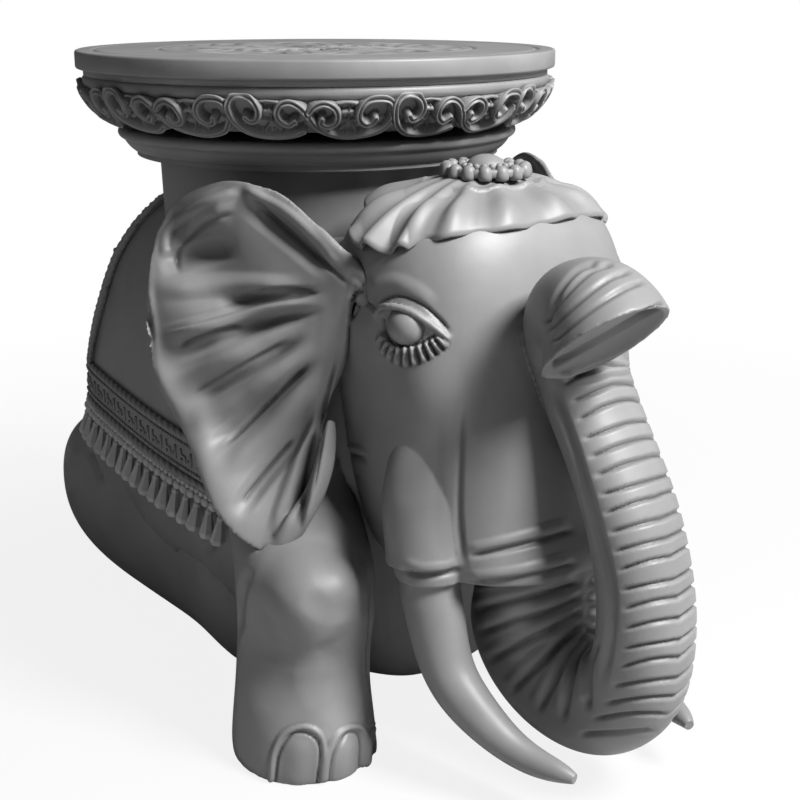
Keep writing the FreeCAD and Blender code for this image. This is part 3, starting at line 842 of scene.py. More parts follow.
@dataclass
class Studio:
    """The pale floor, the soft lamps and the photograph's camera."""

    floor_tone: Tone = (0.42, 0.42, 0.42)
    floor_roughness: float = 0.9
    floor_half_size: float = 6.0
    floor_near: float = 0.35
    floor_far: float = 1.1
    floor_near_glow: float = 0.86
    world_tone: Tone = (0.6, 0.6, 0.6)
    world_strength: float = 0.2
    middle: Place = (0.0, -60.0, 210.0)
    lamps: tuple[Lamp, ...] = (
        Lamp("key", 0.66, -0.50, 0.70, 1.9, 0.6, 98.0),
        Lamp("rim", 0.9, 0.25, 0.5, 1.8, 0.7, 4.0),
        Lamp("fill", -0.9, -0.55, 0.3, 2.0, 1.2, 2.0))

    def build(self) -> None:
        """Set up the view, the world, the floor and the lamps."""
        bpy.context.scene.view_settings.view_transform = "Standard"
        VIEW.make_camera()
        self.make_world()
        self.make_floor()
        for lamp in self.lamps:
            lamp.hang(spot(*self.middle))

    def make_world(self) -> None:
        """Light the room evenly, and show white where the camera looks past the floor."""
        world = bpy.data.worlds.new("pale_room")
        bpy.context.scene.world = world
        wiring = Wiring(world)
        plain = wiring.nodes["Background"]
        wiring.fill(plain, {"Color": (*self.world_tone, 1.0), "Strength": self.world_strength})
        seen = wiring.add("Background", {"Color": (*WHITE, 1.0)})
        path = wiring.add("LightPath", {})
        mix = wiring.add("MixShader", {0: path.outputs["Is Camera Ray"], 1: plain.outputs["Background"],
                                       2: seen.outputs["Background"]})
        wiring.fill(wiring.nodes["World Output"], {"Surface": mix.outputs["Shader"]})

    def make_floor(self) -> None:
        """Lay the floor, nearly white to the camera but for the stool's shadow."""
        corners = np.array([(-1, -1, 0), (1, -1, 0), (1, 1, 0), (-1, 1, 0)]) * self.floor_half_size
        floor = piece_from("floor", (corners, np.array([[0, 1, 2, 3]])))
        made = bpy.data.materials.new("pale_floor")
        wiring = Wiring(made)
        shader = wiring.nodes["Principled BSDF"]
        wiring.fill(shader, {"Base Color": (*self.floor_tone, 1.0), "Roughness": self.floor_roughness})
        glow = wiring.add("Emission", {"Color": (*WHITE, 1.0), "Strength": 1.0})
        place = wiring.add("NewGeometry", {}).outputs["Position"]
        length = wiring.add("VectorMath", {0: place}, operation="LENGTH")
        fade = wiring.add("MapRange", {"From Min": self.floor_near, "From Max": self.floor_far,
                                       "To Min": self.floor_near_glow, "To Max": 1.0,
                                       "Value": length.outputs["Value"]})
        path = wiring.add("LightPath", {}).outputs["Is Camera Ray"]
        share = wiring.add("Math", {0: path, 1: fade.outputs["Result"]}, operation="MULTIPLY")
        mix = wiring.add("MixShader", {0: share.outputs["Value"], 1: shader.outputs["BSDF"],
                                       2: glow.outputs["Emission"]})
        wiring.fill(wiring.nodes["Material Output"], {"Surface": mix.outputs["Shader"]})
        floor.data.materials.append(made)


@dataclass
class Seat:
    """The round seat board with its rim band, incised rings and low carved medallion."""

    steps_round: int = 720
    neck_inset: float = 0.005
    band_height: float = 0.012
    band_slope: float = 0.0004
    edge_round: float = 0.0016
    edge_bevel: float = 0.3
    low_core: float = 0.0008
    top_core: float = 0.0015
    top_steps: int = 150
    ring_shares: Pair = (0.924, 0.66)
    ring_half_width: float = 0.0018
    ring_depth: float = 0.0012
    carving_depth: float = 0.0011
    petals: int = 8
    petal_bend: Pair = (5.0, 6.0)
    leaf_waves: float = 14.0
    petal_share: float = 0.6
    pattern_edge: Pair = (0.25, 0.5)
    rim_fade: float = 0.06
    middle_fade: Pair = (0.08, 0.14)
    level_slack: float = 1e-6

    def build(self) -> None:
        """Turn the board and carve its top."""
        low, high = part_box("seat_top")
        radius = (high.x - low.x) / 2
        neck = radius - self.neck_inset
        band_low = high.z - self.band_height
        edge, bevel = self.edge_round, self.edge_round * self.edge_bevel
        side = [(self.low_core, low.z), (neck, low.z), (neck, band_low - edge),
                (neck + self.band_slope, band_low), (radius - edge, band_low),
                (radius - bevel, band_low + bevel), (radius, band_low + edge),
                (radius, high.z - edge), (radius - bevel, high.z - bevel), (radius - edge, high.z)]
        inward = [(r, high.z) for r in np.linspace(radius - edge, self.top_core, self.top_steps)[1:]]
        points, faces = turned(np.array(side + inward), self.steps_round)
        points[:, 2] -= self.top_depth(points, high.z, radius)
        points += [0.0, SEAT_Y, 0.0]
        dress(piece_from("seat_board", (points, faces)), GREY, ["seat_top"])

    def top_depth(self, points: Array, top_z: float, radius: float) -> Array:
        """Work out how deep the rings and the medallion are cut.

        Args:
            points: The board's points about the seat's axis.
            top_z: The level of the seat.
            radius: The seat's radius.

        Returns:
            How far each point sinks, in metres.
        """
        reach = np.hypot(points[:, 0], points[:, 1])
        turn = np.arctan2(points[:, 1], points[:, 0])
        depth = np.zeros(len(points))
        for share in self.ring_shares:
            depth += self.ring_depth * rounded(np.abs(reach - radius * share), self.ring_half_width)
        share = reach / (radius * self.ring_shares[1] - self.ring_half_width * 2)
        bend, waves = self.petal_bend
        curl = np.cos(self.petals * turn + bend * np.sin(share * waves))
        leaf = np.cos(2 * self.petals * turn) * np.cos(share * self.leaf_waves)
        pattern = eased(np.abs(curl * self.petal_share + leaf * self.petal_share), *self.pattern_edge)
        inside = eased(1 - share, 0.0, self.rim_fade) * eased(share, *self.middle_fade)
        depth += self.carving_depth * pattern * inside
        return np.where(points[:, 2] >= top_z - self.level_slack, depth, 0.0)


FRIEZE_SCROLLS: tuple[Line, ...] = (
    ((86, 102), (110, 124), (145, 110), (160, 60), (130, 10), (70, -5), (20, 10), (0, 60), (30, 150),
     (110, 220), (210, 245), (310, 230), (390, 190)),
    ((346, 122), (310, 145), (270, 120), (255, 75), (280, 35), (330, 25), (380, 50), (420, 100), (460, 160),
     (530, 210), (620, 245), (710, 235), (810, 190), (860, 120), (865, 60), (840, 20), (780, 10), (720, 20),
     (685, 60), (685, 110), (720, 145), (758, 138), (772, 110)),
    ((420, 75), (450, 45), (500, 30), (550, 50), (570, 90), (560, 135), (520, 155), (485, 140), (488, 112)))
FRIEZE_BARS: tuple[Line, ...] = (
    ((150, 28), (205, 18), (262, 30)), ((158, 84), (205, 78), (252, 88)),
    ((560, 40), (620, 28), (684, 42)), ((578, 92), (630, 84), (684, 92)))
FRIEZE_STARS: Line = ((212, 150), (634, 152))


@dataclass
class Frieze:
    """The carved band under the seat: tiles of running scrolls, each with its fringe.

    A tile is drawn in units of its own, and what stands up from its ground in shares of the
    full relief.
    """

    tiles: int = 10
    tile_units: float = 870.0
    deep_units: float = 357.0
    above_units: float = 56.0
    steps_in_tile: int = 300
    rows: int = 110
    ground_depth: float = 0.0068
    ground_share: float = 0.04
    relief: float = 0.0072
    relief_edge: Pair = (0.07, 0.15)
    ground_edge: Pair = (0.03, 0.2)
    band_half: float = 22.0
    band_shoulder: float = 0.78
    band_squareness: int = 8
    bar_half: float = 15.0
    bar_share: float = 0.55
    bar_squareness: int = 4
    star_ribs: int = 5
    star_reach: float = 92.0
    star_rib_half: float = 14.0
    star_shares: Pair = (0.5, 0.1)
    fringe_level: float = 105.0
    fringe_drop: float = 34.0
    fringe_half: float = 17.0
    fringe_share: float = 0.34
    fringe_teeth: int = 13
    tooth_gap: float = -0.25
    inset_and_drop: Line = (
        (0.0054, 0.0), (0.0012, 0.004), (0.0, 0.0085), (0.0024, 0.015), (0.0074, 0.022), (0.0150, 0.029))
    low_inset: float = 0.0264
    profile_steps: int = 12

    def build(self) -> None:
        """Carve the band on a grid of its own."""
        low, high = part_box("frieze_ring")
        top_radius = (high.x - low.x) / 2
        corners = [(top_radius - inset, high.z - drop) for inset, drop in self.inset_and_drop]
        profile = smooth_path(corners + [(top_radius - self.low_inset, low.z)], self.profile_steps)
        lengths = np.concatenate([[0], np.cumsum(np.linalg.norm(np.diff(profile, axis=0), axis=1))])
        down = np.linspace(0, 1, self.rows)
        reach, level = (np.interp(down * lengths[-1], lengths, part) for part in profile.T)
        height = np.tile(self.tile_relief(down), (1, self.tiles)) * eased(down, *self.relief_edge)[:, None]
        slope_r, slope_z = np.gradient(reach), np.gradient(level)
        length = np.hypot(slope_r, slope_z)
        push = height * self.relief - self.ground_depth * eased(down, *self.ground_edge)[:, None]
        push[-1] = -self.ground_depth
        radius = reach[:, None] - (slope_z / length)[:, None] * push
        rise = np.clip(level[:, None] + (slope_r / length)[:, None] * push, low.z, high.z)
        steps = height.shape[1]
        angle = np.arange(steps) * 2 * math.pi / steps
        rings = np.stack([radius * np.cos(angle), radius * np.sin(angle) + SEAT_Y, rise], -1)
        dress(piece_from("frieze_carving", capped_grid(rings[::-1])), GREY, ["frieze_ring"])

    def tile_relief(self, down: Array) -> Array:
        """Draw one tile's relief.

        Args:
            down: Shares of the way down the band, one per row.

        Returns:
            The relief as shares of its full height, by row and column.
        """
        across = (np.arange(self.steps_in_tile) + 0.5) / self.steps_in_tile * self.tile_units
        units = np.stack(np.meshgrid(across, down * self.deep_units - self.above_units, indexing="xy"), -1)
        places = units.reshape(-1, 2)
        relief = np.full(len(places), self.ground_share)
        shifts = (-self.tile_units, 0.0, self.tile_units)
        for shift in shifts:
            low_forms = [self.star(places, np.add(centre, (shift, 0))) for centre in FRIEZE_STARS]
            low_forms += [self.bar(places, bar, shift) for bar in FRIEZE_BARS]
            low_forms += [self.fringe(places, scroll, shift) for scroll in FRIEZE_SCROLLS[:2]]
            relief = np.maximum(relief, np.max(low_forms, axis=0))
        for shift in shifts:
            for scroll in FRIEZE_SCROLLS:
                distance, _ = path_distance(places, smooth_path(scroll) + [shift, 0.0])
                share = np.clip(distance / self.band_half, 0, 1)
                crown = self.band_shoulder + (1 - self.band_shoulder) * np.sin(share * math.pi)
                relief = np.where(share < 1, (1 - share ** self.band_squareness) * crown, relief)
        return relief.reshape(units.shape[:2])

    def bar(self, places: Array, bar: Line, shift: float) -> Array:
        """Draw a low bar with round edges."""
        distance, _ = path_distance(places, smooth_path(bar) + [shift, 0.0])
        return self.bar_share * np.clip(1 - (distance / self.bar_half) ** self.bar_squareness, 0, 1)

    def star(self, places: Array, centre: Array) -> Array:
        """Draw a sunk star of five sharp ribs.

        Args:
            places: The tile's places, one per row.
            centre: The star's middle.

        Returns:
            Its relief.
        """
        away = places - centre
        reach = np.hypot(away[:, 0], away[:, 1])
        turn = np.arctan2(away[:, 1], away[:, 0]) + math.pi / 2
        rib = np.clip(1 - np.abs(np.sin(turn * self.star_ribs / 2)) * reach / self.star_rib_half, 0, 1)
        high, dish = self.star_shares
        return np.where(reach < self.star_reach, high * rib + dish * (reach / self.star_reach), 0.0)

    def fringe(self, places: Array, scroll: Line, shift: float) -> Array:
        """Draw the short teeth that hang below a scroll's swag.

        Args:
            places: The tile's places, one per row.
            scroll: The scroll's line.
            shift: How far along the band it is moved.

        Returns:
            Their relief.
        """
        swag = [point for point in scroll if point[1] > self.fringe_level]
        distance, along = path_distance(places, smooth_path(swag) + [shift, self.fringe_drop])
        teeth = np.cos(along * 2 * math.pi * self.fringe_teeth) > self.tooth_gap
        return np.where((distance < self.fringe_half) & teeth, self.fringe_share, 0.0)


@dataclass
class KeptSolids:
    """Solids that keep their own meshes."""

    nodes: tuple[str, ...] = ()
    finish: CarvedFinish = GREY

    def build(self) -> None:
        """Finish the solids."""
        for name in self.nodes:
            dress(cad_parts[name], self.finish)


@dataclass
class TurnedStack(KeptSolids):
    """The moulding under the frieze and the drum."""

    nodes: tuple[str, ...] = ("lower_moulding", "drum")


@dataclass
class Joinery(KeptSolids):
    """The dowels, pins and peg inside the stool, of plain wood."""

    nodes: tuple[str, ...] = ("seat_dowels", "drum_peg", "head_pins", "trunk_pin", "trunk_tip_pin",
                              *sided("ear_dowels", "front_leg_dowel", "hind_leg_dowel"))
    finish: CarvedFinish = PLAIN_WOOD


@dataclass
class SmallSolids(KeptSolids):
    """The eyeballs, the tusks and the tail."""

    nodes: tuple[str, ...] = (*sided("eye", "tusk"), "tail")


@dataclass
class Body:
    """The torso and the two folded hind legs."""

    voxel: float = 0.0022
    haunch_voxel_share: float = 0.8
    smoothing: int = 8
    torso_cuts: Strokes = (
        Stroke(((232, 512), (221, 535), (206, 560)), 6, -2.6),
        Stroke(((222, 508), (213, 528), (200, 546)), 5, -2.0),
        Stroke(((214, 598), (228, 622), (246, 645)), 5, -2.6),
        Stroke(((214, 612), (226, 632), (244, 655)), 4, -2.0))
    haunch_cuts: Strokes = (
        Stroke(((88, 446), (96, 466), (104, 486)), 6, -2.4),
        Stroke(((78, 440), (70, 470), (74, 500)), 8, 1.6))

    def build(self) -> None:
        """Carve the torso and the hind legs."""
        nodes = ["torso", "drum_peg", "head_pins", *sided("front_leg_dowel", "hind_leg_dowel")]
        torso = Sculpture("body_carving", nodes, self.voxel, self.smoothing)
        torso.carve(self.torso_cuts)
        torso.finish(["torso"])
        voxel = self.voxel * self.haunch_voxel_share
        for side in Side:
            nodes = ["hind_leg_" + side.word, "hind_leg_dowel_" + side.word]
            leg = Sculpture("haunch_" + side.word, nodes, voxel, self.smoothing)
            leg.carve(self.haunch_cuts)
            leg.finish(nodes[:1])


@dataclass
class FrontLegs:
    """The two standing front legs with their elbows and toenails."""

    voxel: float = 0.0012
    smoothing: int = 8
    muscles: tuple[Swelling, ...] = (
        ((-136, -182, 122), 36, 8.0), ((-112, -196, 132), 26, 4.0), ((-160, -158, 84), 44, -7.0),
        ((-116, -193, 72), 38, -6.0), ((-150, -176, 58), 34, -3.0), ((-128, -192, 20), 30, 4.0))
    creases: Strokes = (
        Stroke(((372, 560), (374, 620), (368, 690)), 7, -2.6),
        Stroke(((238, 640), (240, 600), (250, 565)), 8, -2.5),
        Stroke(((300, 592), (330, 612), (356, 598)), 16, -1.2),
        Stroke(((262, 640), (300, 660), (345, 650)), 18, -1.4))
    nail_arches: tuple[Line, ...] = (
        ((271, 779), (274, 752), (284, 734), (302, 727), (317, 732), (324, 746), (321, 779)),
        ((325, 778), (329, 752), (339, 734), (353, 727), (364, 734), (363, 770)),
        ((366, 770), (368, 745), (374, 726), (382, 718)))
    nail_plates: tuple[Line, ...] = (
        ((297, 752), (297, 776)), ((346, 750), (344, 776)), ((376, 744), (374, 764)))
    rim: Pair = (4.2, 2.0)
    groove: Pair = (2.2, -1.3)
    groove_shift: Pair = (4, 5)
    plate: Pair = (17, 1.5)

    def build(self) -> None:
        """Carve both legs."""
        for side in Side:
            nodes = ["front_leg_" + side.word, "front_leg_dowel_" + side.word]
            leg = Sculpture("foreleg_" + side.word, nodes, self.voxel, self.smoothing)
            leg.swell(self.muscles)
            leg.carve()
            leg.carve([*self.nails(), *self.creases])
            leg.finish(nodes[:1])

    def nails(self) -> list[Stroke]:
        """Draw the rims, the grooves and the plates of the toenails.

        Returns:
            The strokes.
        """
        strokes = []
        in_x, down_y = self.groove_shift
        for arch in self.nail_arches:
            middle = sum(x for x, _ in arch) / len(arch)
            inner = tuple((x + (in_x if x < middle else -in_x), y + down_y) for x, y in arch)
            strokes += [Stroke(arch, *self.rim, 0.0), Stroke(inner, *self.groove, 0.0)]
        return strokes + [Stroke(plate, *self.plate, 0.0) for plate in self.nail_plates]


def halfway(start: Sequence[float], end: Sequence[float], drop: float = 0.0) -> Pair:
    """Find the pixel between two others, moved down by a drop."""
    return (start[0] + end[0]) / 2, (start[1] + end[1]) / 2 + drop


@dataclass
class HeadAndTrunk:
    """The head with its lids, the wrinkled trunk and the curled tip, as one carving."""

    voxel: float = 0.0012
    smoothing: int = 6
    lid_radius: float = 2.3
    lower_lid_share: float = 0.8
    lid_taper: float = 0.5
    lid_sides: int = 14
    upper_lid: tuple[Place, ...] = (
        (-93, -187, 291), (-94, -196, 297), (-92, -205, 299), (-87, -215, 297), (-80, -225, 290),
        (-73, -233, 282))
    lower_lid: tuple[Place, ...] = (
        (-92, -191, 282), (-92, -197, 277), (-90, -206, 274), (-86, -214, 274), (-80, -223, 277),
        (-74, -231, 281))
    sheath: tuple[Place, ...] = ((-56, -188, 262), (-68, -204, 222), (-77, -216, 180), (-80, -221, 143))
    sheath_radii: tuple[float, ...] = (4, 14, 21, 24)
    sheath_sides: int = 40
    swellings: tuple[Swelling, ...] = (
        ((-97, -170, 298), 22, -3.0), ((-86, -226, 246), 34, 2.5), ((-94, -200, 190), 52, 5.0))
    eye_cuts: Strokes = (
        Stroke(((383, 319), (386, 334), (398, 345), (418, 344), (434, 336)), 2.6, -1.8, 0.0),
        Stroke(((374, 305), (397, 296), (420, 303), (438, 318), (452, 334)), 3.0, -1.8, 0.15),
        Stroke(((346, 320), (354, 302), (366, 292)), 10, -3.6),
        Stroke(((360, 300), (370, 305), (378, 313)), 4, -1.8),
        Stroke(((362, 292), (390, 282), (414, 290), (436, 308)), 12, 1.2, 0.2))
    lashes: tuple[Line, ...] = (
        ((383, 336), (379, 341)), ((387, 342), (383, 350)), ((392, 346), (388, 356)),
        ((398, 348), (396, 361)), ((405, 349), (405, 363)), ((412, 348), (414, 362)),
        ((419, 346), (424, 359)), ((426, 343), (432, 355)), ((432, 340), (440, 350)),
        ((438, 337), (446, 345)))
    lash: Pair = (3.4, 2.6)
    lash_gap: Pair = (2.4, -2.0)
    lash_gap_drop: float = 2.0
    face_cuts: Strokes = (
        Stroke(((466, 395), (462, 430), (459, 507), (464, 560), (470, 580)), 5.5, -1.8, 0.25),
        Stroke(((452, 400), (449, 450), (447, 510), (450, 560)), 13, 0.9, 0.3),
        Stroke(((322, 456), (334, 446), (352, 447), (372, 456)), 4, 1.8),
        Stroke(((322, 464), (336, 455), (354, 456), (370, 464)), 4, -1.8),
        Stroke(((330, 480), (345, 474), (362, 478)), 4, -1.2),
        Stroke(((398, 568), (420, 575), (446, 574), (466, 566)), 5, -2.4),
        Stroke(((400, 560), (422, 566), (446, 565), (462, 558)), 6, 0.8, 0.2))
    wrinkles: int = 20
    wrinkle_half_width: float = 3.8
    wrinkle_depth: float = -2.4
    wrinkle_fade: float = 0.16
    first_wrinkle: float = 0.35
    wrinkle_sag: float = -1.5
    wrinkle_sway: Pair = (2.0, 2.4)
    wrinkle_vary: Pair = (0.12, 1.7)
    wrinkle_left: Line = (
        (561, 378), (575, 425), (592, 480), (606, 540), (617, 590), (620, 640), (615, 672),
        (603, 700), (587, 722), (568, 744))
    wrinkle_right: Line = (
        (622, 350), (645, 398), (666, 450), (681, 490), (695, 530), (703, 572), (705, 614),
        (701, 652), (690, 684), (674, 714), (650, 740))
    fold_lines: tuple[Line, ...] = (
        ((467, 557), (520, 546), (578, 530)), ((467, 585), (525, 578), (582, 563)),
        ((470, 612), (530, 598), (585, 582)), ((475, 634), (550, 612), (587, 596)),
        ((484, 664), (551, 630), (586, 610)), ((507, 696), (556, 650), (584, 622)),
        ((536, 716), (567, 660), (590, 630)), ((562, 724), (574, 668), (594, 634)),
        ((588, 712), (588, 668), (598, 640)))
    fold_cut: tuple[float, float, float] = (5.5, -2.6, 0.14)
    fold_ridge: tuple[float, float, float] = (8.0, 1.6, 0.14)
    ridge_shift: Pair = (-5, -8)
    inner_edge: Stroke = Stroke(
        ((548, 376), (575, 450), (598, 530), (612, 590), (610, 640), (602, 690)), 7, -2.2, 0.1)
    tip_cuts: Strokes = (
        Stroke(((546, 326), (556, 296), (576, 271), (600, 261)), 4.6, -2.0, 0.1),
        Stroke(((541, 328), (562, 298), (590, 271), (616, 263)), 4.6, -2.0, 0.1),
        Stroke(((545, 334), (574, 305), (608, 279), (634, 270)), 4.6, -2.0, 0.1),
        Stroke(((549, 345), (585, 314), (622, 290), (648, 280)), 4.6, -2.0, 0.1),
        Stroke(((550, 366), (590, 345), (630, 322), (668, 300)), 4.5, -3.0, 0.08),
        Stroke(((556, 374), (575, 379), (602, 374), (626, 360)), 6.0, 1.6, 0.2))

    def build(self) -> None:
        """Carve the head and the trunk."""
        rolls = self.lids()
        sheath = smooth_path([spot(*place) for place in self.sheath])
        rolls.append(tube(sheath, [radius * MM for radius in self.sheath_radii], self.sheath_sides))
        clay = rolls + [mirrored(roll) for roll in rolls]
        nodes = ["head", "trunk", "trunk_tip", "head_pins", "trunk_pin", "trunk_tip_pin",
                 *sided("ear_dowels")]
        carving = Sculpture("head_and_trunk", nodes, self.voxel, self.smoothing, clay)
        carving.swell(self.swellings)
        carving.carve()
        carving.carve([*self.eye_cuts, *self.lash_cuts(), *self.face_cuts])
        carving.carve([*self.trunk_wrinkles(), *self.trunk_folds(), *self.tip_cuts])
        carving.finish(nodes[:3])

    def lids(self) -> list[Faces]:
        """Roll the lids of the right eye.

        Returns:
            The rolls.
        """
        rolls = []
        for line, radius in ((self.upper_lid, self.lid_radius),
                             (self.lower_lid, self.lid_radius * self.lower_lid_share)):
            path = np.array([spot(*point) for point in smooth_path(line)])
            end = radius * self.lid_taper * MM
            rolls.append(tube(path, [end, radius * MM, radius * MM, end], self.lid_sides))
        return rolls

    def lash_cuts(self) -> list[Stroke]:
        """Draw the lashes under the eye and the gaps between them.

        Returns:
            The strokes.
        """
        strokes = []
        before = None
        for start, end in self.lashes:
            strokes.append(Stroke((start, halfway(start, end), end), *self.lash, 0.0))
            if before:
                top = halfway(before[0], start, self.lash_gap_drop)
                low = halfway(before[1], end, self.lash_gap_drop)
                strokes.append(Stroke((top, halfway(top, low), low), *self.lash_gap, 0.0))
            before = (start, end)
        return strokes

    def trunk_wrinkles(self) -> list[Stroke]:
        """Cut the cross wrinkles down the trunk's front, each a little unlike the last.

        Returns:
            The strokes.
        """
        strokes = []
        (sway, sway_beat), (vary, vary_beat) = self.wrinkle_sway, self.wrinkle_vary
        for index in range(self.wrinkles):
            share = (index + self.first_wrinkle) / self.wrinkles
            start, end = along_path(self.wrinkle_left, share), along_path(self.wrinkle_right, share)
            middle = (start + end) / 2 + [0.0, sway * math.sin(index * sway_beat) + self.wrinkle_sag]
            half = self.wrinkle_half_width * (1 + vary * math.sin(index * vary_beat))
            line = (tuple(start), tuple(middle), tuple(end))
            strokes.append(Stroke(line, half, self.wrinkle_depth, self.wrinkle_fade))
        return strokes

    def trunk_folds(self) -> list[Stroke]:
        """Cut the folds along the trunk's side and round its bend.

        Returns:
            The strokes.
        """
        right, down = self.ridge_shift
        strokes = [self.inner_edge]
        for line in self.fold_lines:
            raised = tuple((x + right, y + down) for x, y in line)
            strokes += [Stroke(line, *self.fold_cut), Stroke(raised, *self.fold_ridge)]
        return strokes


@dataclass
class Ears:
    """The two spread ears with their rolled rims, fanned folds and sharper creases."""

    voxel: float = 0.0012
    smoothing: int = 6
    facing: Place = (-0.84, -0.47, 0.19)
    lobe_edge: tuple[Place, ...] = (
        (-103, -160, 222), (-108, -159, 200), (-116, -157, 178), (-127, -154, 158), (-137, -149, 146),
        (-144, -142, 145))
    lobe_radii: tuple[float, ...] = (0.002, 0.0065, 0.0075, 0.0065, 0.004)
    lobe_sides: int = 20
    folds: Strokes = (
        Stroke(((340, 274), (300, 240), (244, 196)), 20, -6.5, 0.3),
        Stroke(((340, 262), (292, 220), (240, 188)), 12, 3.0, 0.2),
        Stroke(((158, 268), (195, 256), (240, 246)), 15, -6.0, 0.25),
        Stroke(((178, 222), (205, 208), (236, 216)), 26, 4.0, 0.3),
        Stroke(((150, 290), (225, 284), (306, 288)), 15, 4.0, 0.25),
        Stroke(((215, 308), (262, 298), (325, 293)), 10, -4.5, 0.28),
        Stroke(((152, 339), (205, 325), (267, 309), (334, 297)), 14, 5.5, 0.25),
        Stroke(((165, 359), (205, 344), (262, 326), (325, 305)), 12, -5.5, 0.25),
        Stroke(((170, 388), (230, 358), (306, 320)), 15, 4.6, 0.28),
        Stroke(((180, 407), (240, 376), (312, 333)), 10, -4.0, 0.28),
        Stroke(((184, 430), (245, 394), (318, 342)), 15, 4.4, 0.28),
        Stroke(((200, 456), (262, 407), (324, 352)), 11, -4.5, 0.28),
        Stroke(((218, 478), (275, 424), (326, 364)), 16, 4.6, 0.28),
        Stroke(((230, 522), (262, 478), (297, 437), (324, 396)), 14, -6.5, 0.25),
        Stroke(((272, 550), (290, 495), (310, 440), (326, 396)), 14, 5.0, 0.25),
        Stroke(((294, 532), (304, 480), (318, 430), (332, 388)), 9, -5.0, 0.25),
        Stroke(((304, 548), (315, 500), (328, 432), (344, 350)), 10, 4.4, 0.2))
    creases: Strokes = (
        Stroke(((350, 286), (300, 241), (249, 197)), 4.5, -2.0, 0.1),
        Stroke(((165, 262), (168, 232), (200, 206), (240, 190)), 7, 2.0, 0.12),
        Stroke(((178, 276), (180, 248), (206, 224), (236, 212)), 5, -1.8, 0.15),
        Stroke(((240, 186), (290, 215), (340, 268)), 7, 2.0, 0.12),
        Stroke(((253, 291), (290, 289), (318, 292)), 3.5, -1.6, 0.15),
        Stroke(((177, 348), (212, 334), (245, 326)), 4.0, -2.0, 0.15),
        Stroke(((160, 332), (210, 318), (267, 302), (330, 291)), 3.5, -1.2, 0.15),
        Stroke(((190, 396), (235, 370), (290, 340)), 3.5, -1.4, 0.15),
        Stroke(((222, 448), (265, 408), (312, 362)), 3.5, -1.6, 0.15),
        Stroke(((240, 505), (268, 470), (296, 438)), 4.0, -2.0, 0.15),
        Stroke(((301, 515), (307, 475), (318, 425)), 3.5, -1.8, 0.15),
        Stroke(((336, 356), (326, 400), (320, 450), (312, 500)), 3.5, -1.4, 0.15))

    def build(self) -> None:
        """Carve both ears."""
        lobe = smooth_path([spot(*place) for place in self.lobe_edge])
        clay = tube(lobe, self.lobe_radii, self.lobe_sides)
        for side in Side:
            nodes = ["ear_" + side.word, "ear_dowels_" + side.word]
            rim = clay if side is Side.RIGHT else mirrored(clay)
            ear = Sculpture("ear_carving_" + side.word, nodes, self.voxel, self.smoothing, [rim])
            ear.bend(self.folds, self.facing)
            ear.carve(self.creases)
            ear.finish(nodes[:1])


@dataclass
class HeadCloth:
    """The pleated cloth that hangs from the crown over the top of the head, in millimetres."""

    half_width: float = 92.0
    half_length: float = 66.0
    front_length: float = 55.0
    middle: Pair = (0.0, -179.0)
    thickness: float = 3.4
    lift: float = 3.0
    folds: int = 7
    fold_height: float = 6.5
    fold_sink: float = 1.5
    fold_sharpness: float = 1.5
    fold_start: float = 0.2
    fold_phase: float = 0.6
    sway: float = 0.045
    sway_waves: int = 3
    sway_phase: float = 0.5
    scallop: float = 0.07
    ripple: float = 0.02
    ripple_waves: int = 5
    ripple_phase: float = 1.0
    inner_share: float = 0.16
    rings: int = 70
    steps_round: int = 540
    top_z: float = 366.5
    above_all_z: float = 500.0
    dome_drop: float = 36.0
    dome_power: float = 2.3
    edge_reach: float = 0.6
    edge_under: float = 0.45

    def build(self) -> None:
        """Drape the cloth over the head."""
        head = BVHTree.FromPolygons(*[part.tolist() for part in node_shape("head")])
        turn = np.arange(self.steps_round) * 2 * math.pi / self.steps_round
        phase = turn + self.sway * np.cos(self.sway_waves * turn + self.sway_phase)
        wave = 0.5 + 0.5 * np.cos(2 * self.folds * phase + self.fold_phase)
        crest = wave ** self.fold_sharpness
        notch = self.scallop * (1 - wave) + self.ripple * np.cos(self.ripple_waves * turn + self.ripple_phase)
        length = np.where(np.sin(turn) < 0, self.front_length, self.half_length)
        top = np.zeros((self.rings, self.steps_round, 3))
        for row, share in enumerate(np.linspace(self.inner_share, 1.0, self.rings)):
            reach = share * (1 - notch * share)
            across = self.middle[0] + self.half_width * reach * np.cos(turn)
            along = self.middle[1] + length * reach * np.sin(turn)
            bare = np.array([self.head_level(head, x, y) for x, y in zip(across, along)])
            level = np.maximum(bare + self.lift, self.top_z - self.dome_drop * share ** self.dome_power)
            grow = float(eased(share, self.fold_start, 1.0))
            rise = self.fold_height * grow * crest - self.fold_sink * grow
            top[row] = np.stack([across, along, np.minimum(level + rise, self.top_z)], -1)
        under = top - UP * self.thickness
        edge = (1 - self.edge_under) * top[-1] + self.edge_under * under[-1]
        edge += (top[-1] - top[-2]) * self.edge_reach
        points, faces = capped_grid(np.vstack([top, edge[None], under[::-1]]) * MM + spot(0, 0, 0))
        dress(piece_from("head_cloth_folds", (points, faces[:, ::-1])), GREY, ["head_cloth"])

    def head_level(self, head: BVHTree, x: float, y: float) -> float:
        """Find the top of the head below a place, in millimetres about the seat's axis."""
        hit = head.ray_cast(Vector(spot(x, y, self.above_all_z)), Vector(-UP))[0]
        return hit.z / MM if hit else 0.0


